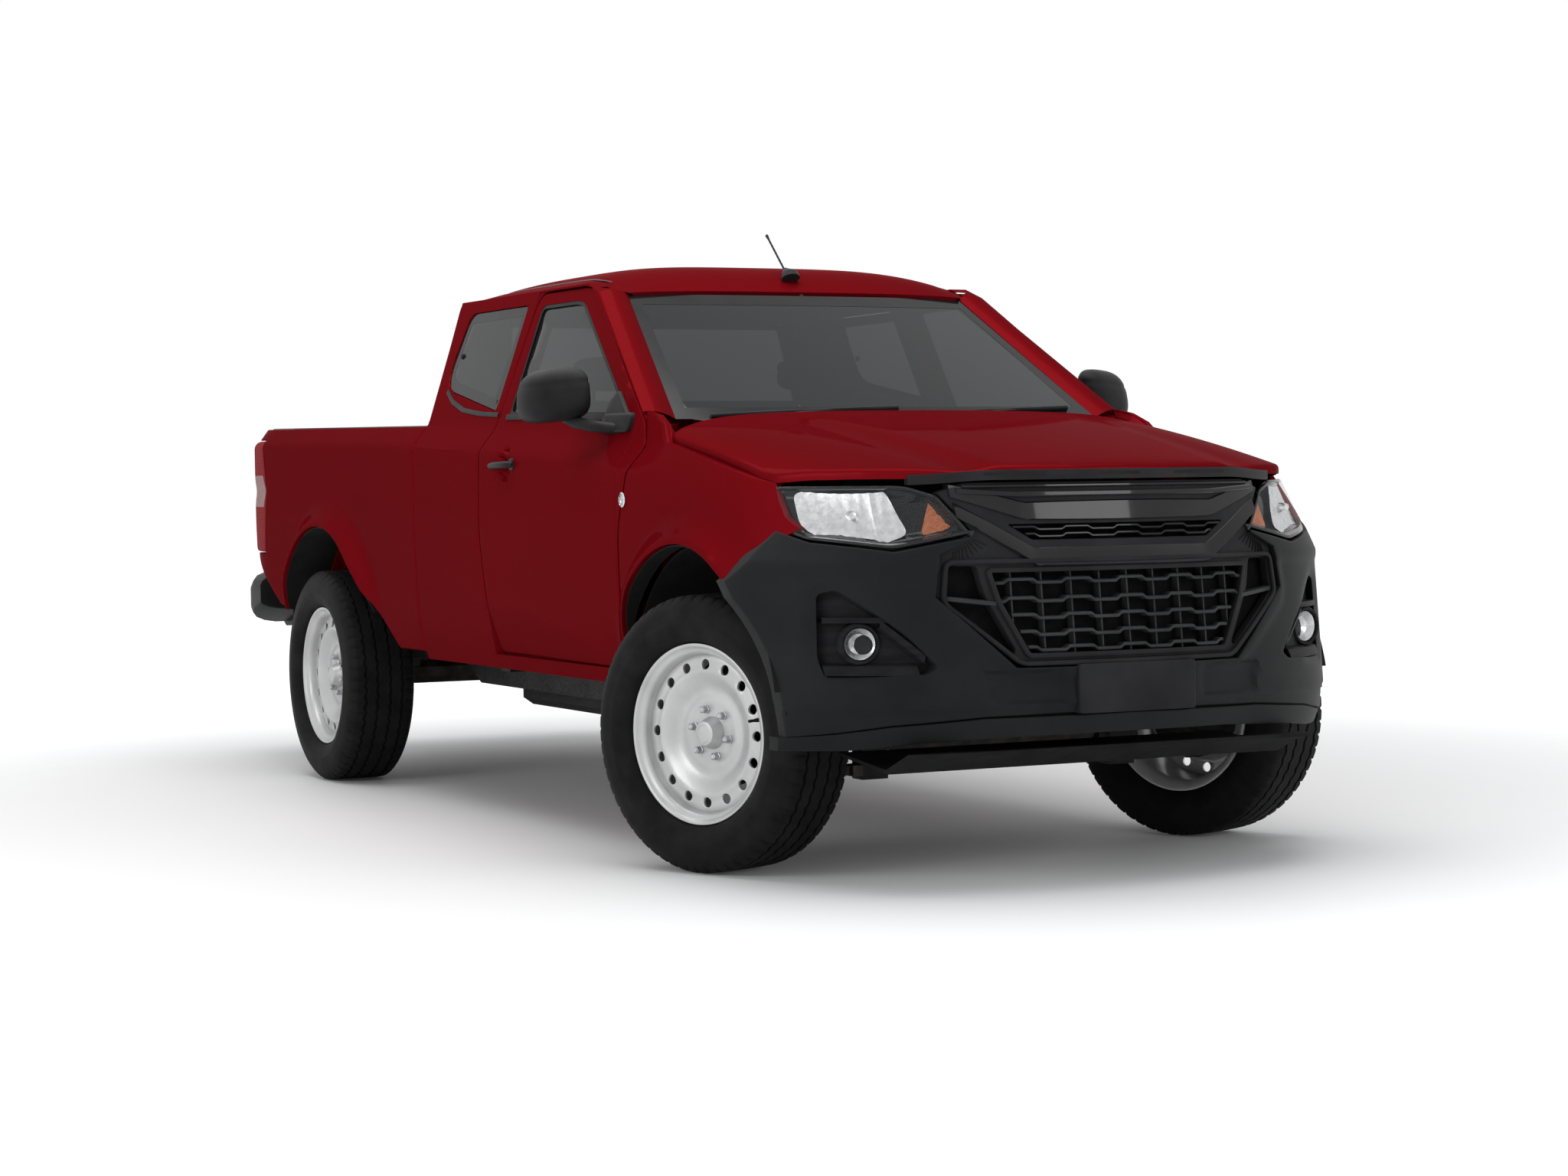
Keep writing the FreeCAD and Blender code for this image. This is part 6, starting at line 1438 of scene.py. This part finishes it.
# ---------------------------------------------------------------- cabin
# The cabin is trimmed in dark moulded plastic and woven cloth: two bucket seats with head rests, a
# bench behind, a padded dashboard and a three-spoke steering wheel on its column.
wear("dashboard", trim_fabric)
seat_cloth, nodes, links, shader = wired("seat_cloth")
place = new_node(nodes, "TexCoord")
weft, warp = (new_node(nodes, "TexWave", {"Scale": 260.0}, bands_direction=way) for way in "YZ")
weave = new_node(nodes, "Math", operation="MULTIPLY")
thread = two_tone(nodes, (0.018, 0.018, 0.020), (0.050, 0.050, 0.054))
lifted = new_node(nodes, "Bump", {"Strength": 0.4, "Distance": 0.0006})
for texture in (weft, warp):
    links.new(place.outputs["Object"], texture.inputs["Vector"])
link_nodes(links, (weft, "Fac", weave, 0), (warp, "Fac", weave, 1), (weave, 0, thread, "Fac"),
                  (thread, "Color", shader, "Base Color"), (weave, 0, lifted, "Height"),
                  (lifted, "Normal", shader, "Normal"))
set_inputs(shader, {"Roughness": 0.85, "Sheen Weight": 0.25})


def cushion(outline, y, half, swelling=0.035, channels=()):
    """A stuffed form: a side outline carried across, its scale falling as a fourth root towards each side so that
    the sides bulge, the faces crowned by a parabola, with sewn channels pressed in along the given places."""
    ring = turning(divided(rounded(outline, 0.05, 6), 0.02))
    middle = ring.mean(axis=0)
    u = np.linspace(-1, 1, 41)
    scale = np.maximum((1 - np.abs(u) ** 6) ** 0.35, 0.001)
    swell = swelling * (1 - u ** 2)
    for place in channels:
        swell = swell - 0.010 * np.exp(-((np.abs(u) - place) / 0.03) ** 2)
    way = ring - middle
    length = np.linalg.norm(way, axis=1, keepdims=True)
    grow = (length - 0.05 + swell[:, None, None]) / length
    body = middle + way[None] * (0.10 + 0.90 * scale)[:, None, None] * grow * 0.93
    across = np.broadcast_to((y + half * np.sin(u * math.pi / 2) * 0.97)[:, None], body.shape[:2])
    return lattice(places(body[..., 0], across, body[..., 1]), wrap=True)


CUSHION = [(0.180, 0.640), (0.170, 0.740), (0.240, 0.770), (0.640, 0.790), (0.690, 0.750), (0.680, 0.640)]
BACKREST = [(0.150, 0.700), (0.250, 0.770), (0.130, 1.290), (0.060, 1.310), (0.020, 1.280)]
HEADREST = [(0.020, 1.330), (0.010, 1.480), (0.060, 1.500), (0.105, 1.480), (0.110, 1.340)]
BENCH = [(-0.330, 0.560), (-0.330, 0.800), (-0.060, 0.800), (-0.040, 0.740), (-0.060, 0.560)]
BENCH_BACK = [(-0.344, 0.800), (-0.344, 1.180), (-0.290, 1.180), (-0.270, 0.800)]
for side, y in (("left", 0.370), ("right", -0.370)):
    for name, outline, half, crowned, channels in (
            ("seat_cushion", CUSHION, 0.250, 0.05, (0.55,)), ("seat_back", BACKREST, 0.240, 0.05, (0.55,)),
            ("head_rest", HEADREST, 0.120, 0.03, ())):
        piece = mesh_object(f"{name}_{side}", [cushion(outline, y, half, crowned, channels)], seat_cloth)
        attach(piece, "truck")
        if (name, side) == ("seat_cushion", "left"):
            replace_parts(piece, "seats")
    base = rounded_box((0.44, y, 0.585), (0.40, 0.40, 0.110), 8.0)
    posts = [tube([(0.062, y + way * 0.05, z) for z in (1.27, 1.31, 1.36)], 0.006, 10) for way in (-1, 1)]
    frame_piece = mesh_object(f"seat_base_{side}", [base] + posts, dark_plastic)
    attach(frame_piece, "truck")
for name, outline in (("bench_cushion", BENCH), ("bench_back", BENCH_BACK)):
    piece = mesh_object(name, [cushion(outline, 0.0, 0.640, 0.045, (0.02,))], seat_cloth)
    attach(piece, "truck")

wheel_middle = np.array([0.840, 0.370, 1.068])
lean = math.radians(24.0)
column = np.array([-math.cos(lean), 0, math.sin(lean)])
climb = np.array([math.sin(lean), 0, math.cos(lean)])
aside = np.array([0, 1.0, 0])
a = np.linspace(0, 2 * math.pi, 73)[:-1]
radial = np.cos(a)[:, None] * aside + np.sin(a)[:, None] * climb
ring_path = wheel_middle + 0.178 * radial
section = np.linspace(0, 2 * math.pi, 14, endpoint=False)
ring = ring_path[:, None] + 0.0135 * (np.cos(section)[None, :, None] * radial[:, None]
                                      + np.sin(section)[None, :, None] * column)
ring = np.concatenate([ring, ring[:1]])
spokes = [tube([wheel_middle - column * 0.012 + way * 0.05, wheel_middle - column * 0.008 + way * 0.11,
                wheel_middle + way * 0.172], [0.022, 0.017, 0.012], 12, 0.45) for way in (aside, -aside, -climb)]
boss = turned([(0.0, 0.018), (0.040, 0.014), (0.062, 0.0), (0.066, -0.026), (0.040, -0.034), (0.013, -0.036),
               (0.012, -0.130), (0.0, -0.130)], wheel_middle, column, 40)
wheel_leather = finish("wheel_grip", (0.016, 0.016, 0.017), (0.026, 0.026, 0.027), 30.0, (0.45, 0.6), 0.5, 500.0)
steering = mesh_object("steering_wheel_grip", [lattice(ring, wrap=True), boss] + spokes, wheel_leather)
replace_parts(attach(steering, "steering_wheel"), "steering_wheel")
binnacle = [cushion([(1.02, 1.11), (1.00, 1.19), (1.06, 1.215), (1.16, 1.20), (1.17, 1.12)], 0.370, 0.20, 0.03)]
binnacle += [rounded_box((1.035, 0.0, 1.085), (0.05, 0.26, 0.17), 8.0),
             rounded_box((1.035, 0.62, 1.12), (0.05, 0.12, 0.07), 5.0),
             rounded_box((1.035, -0.62, 1.12), (0.05, 0.12, 0.07), 5.0)]
dash_top = mesh_object("dash_mouldings", binnacle, dark_plastic)
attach(dash_top, "truck")
inside_view = [rounded_box((0.690, 0.0, 1.585), (0.030, 0.210, 0.062), 4.0),
               tube([(0.700, 0, 1.60), (0.722, 0, 1.622), (0.742, 0, 1.635)], 0.007, 8)]
mirror_inside = mesh_object("inside_mirror", inside_view, dark_plastic)
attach(mirror_inside, "truck")

low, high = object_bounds()
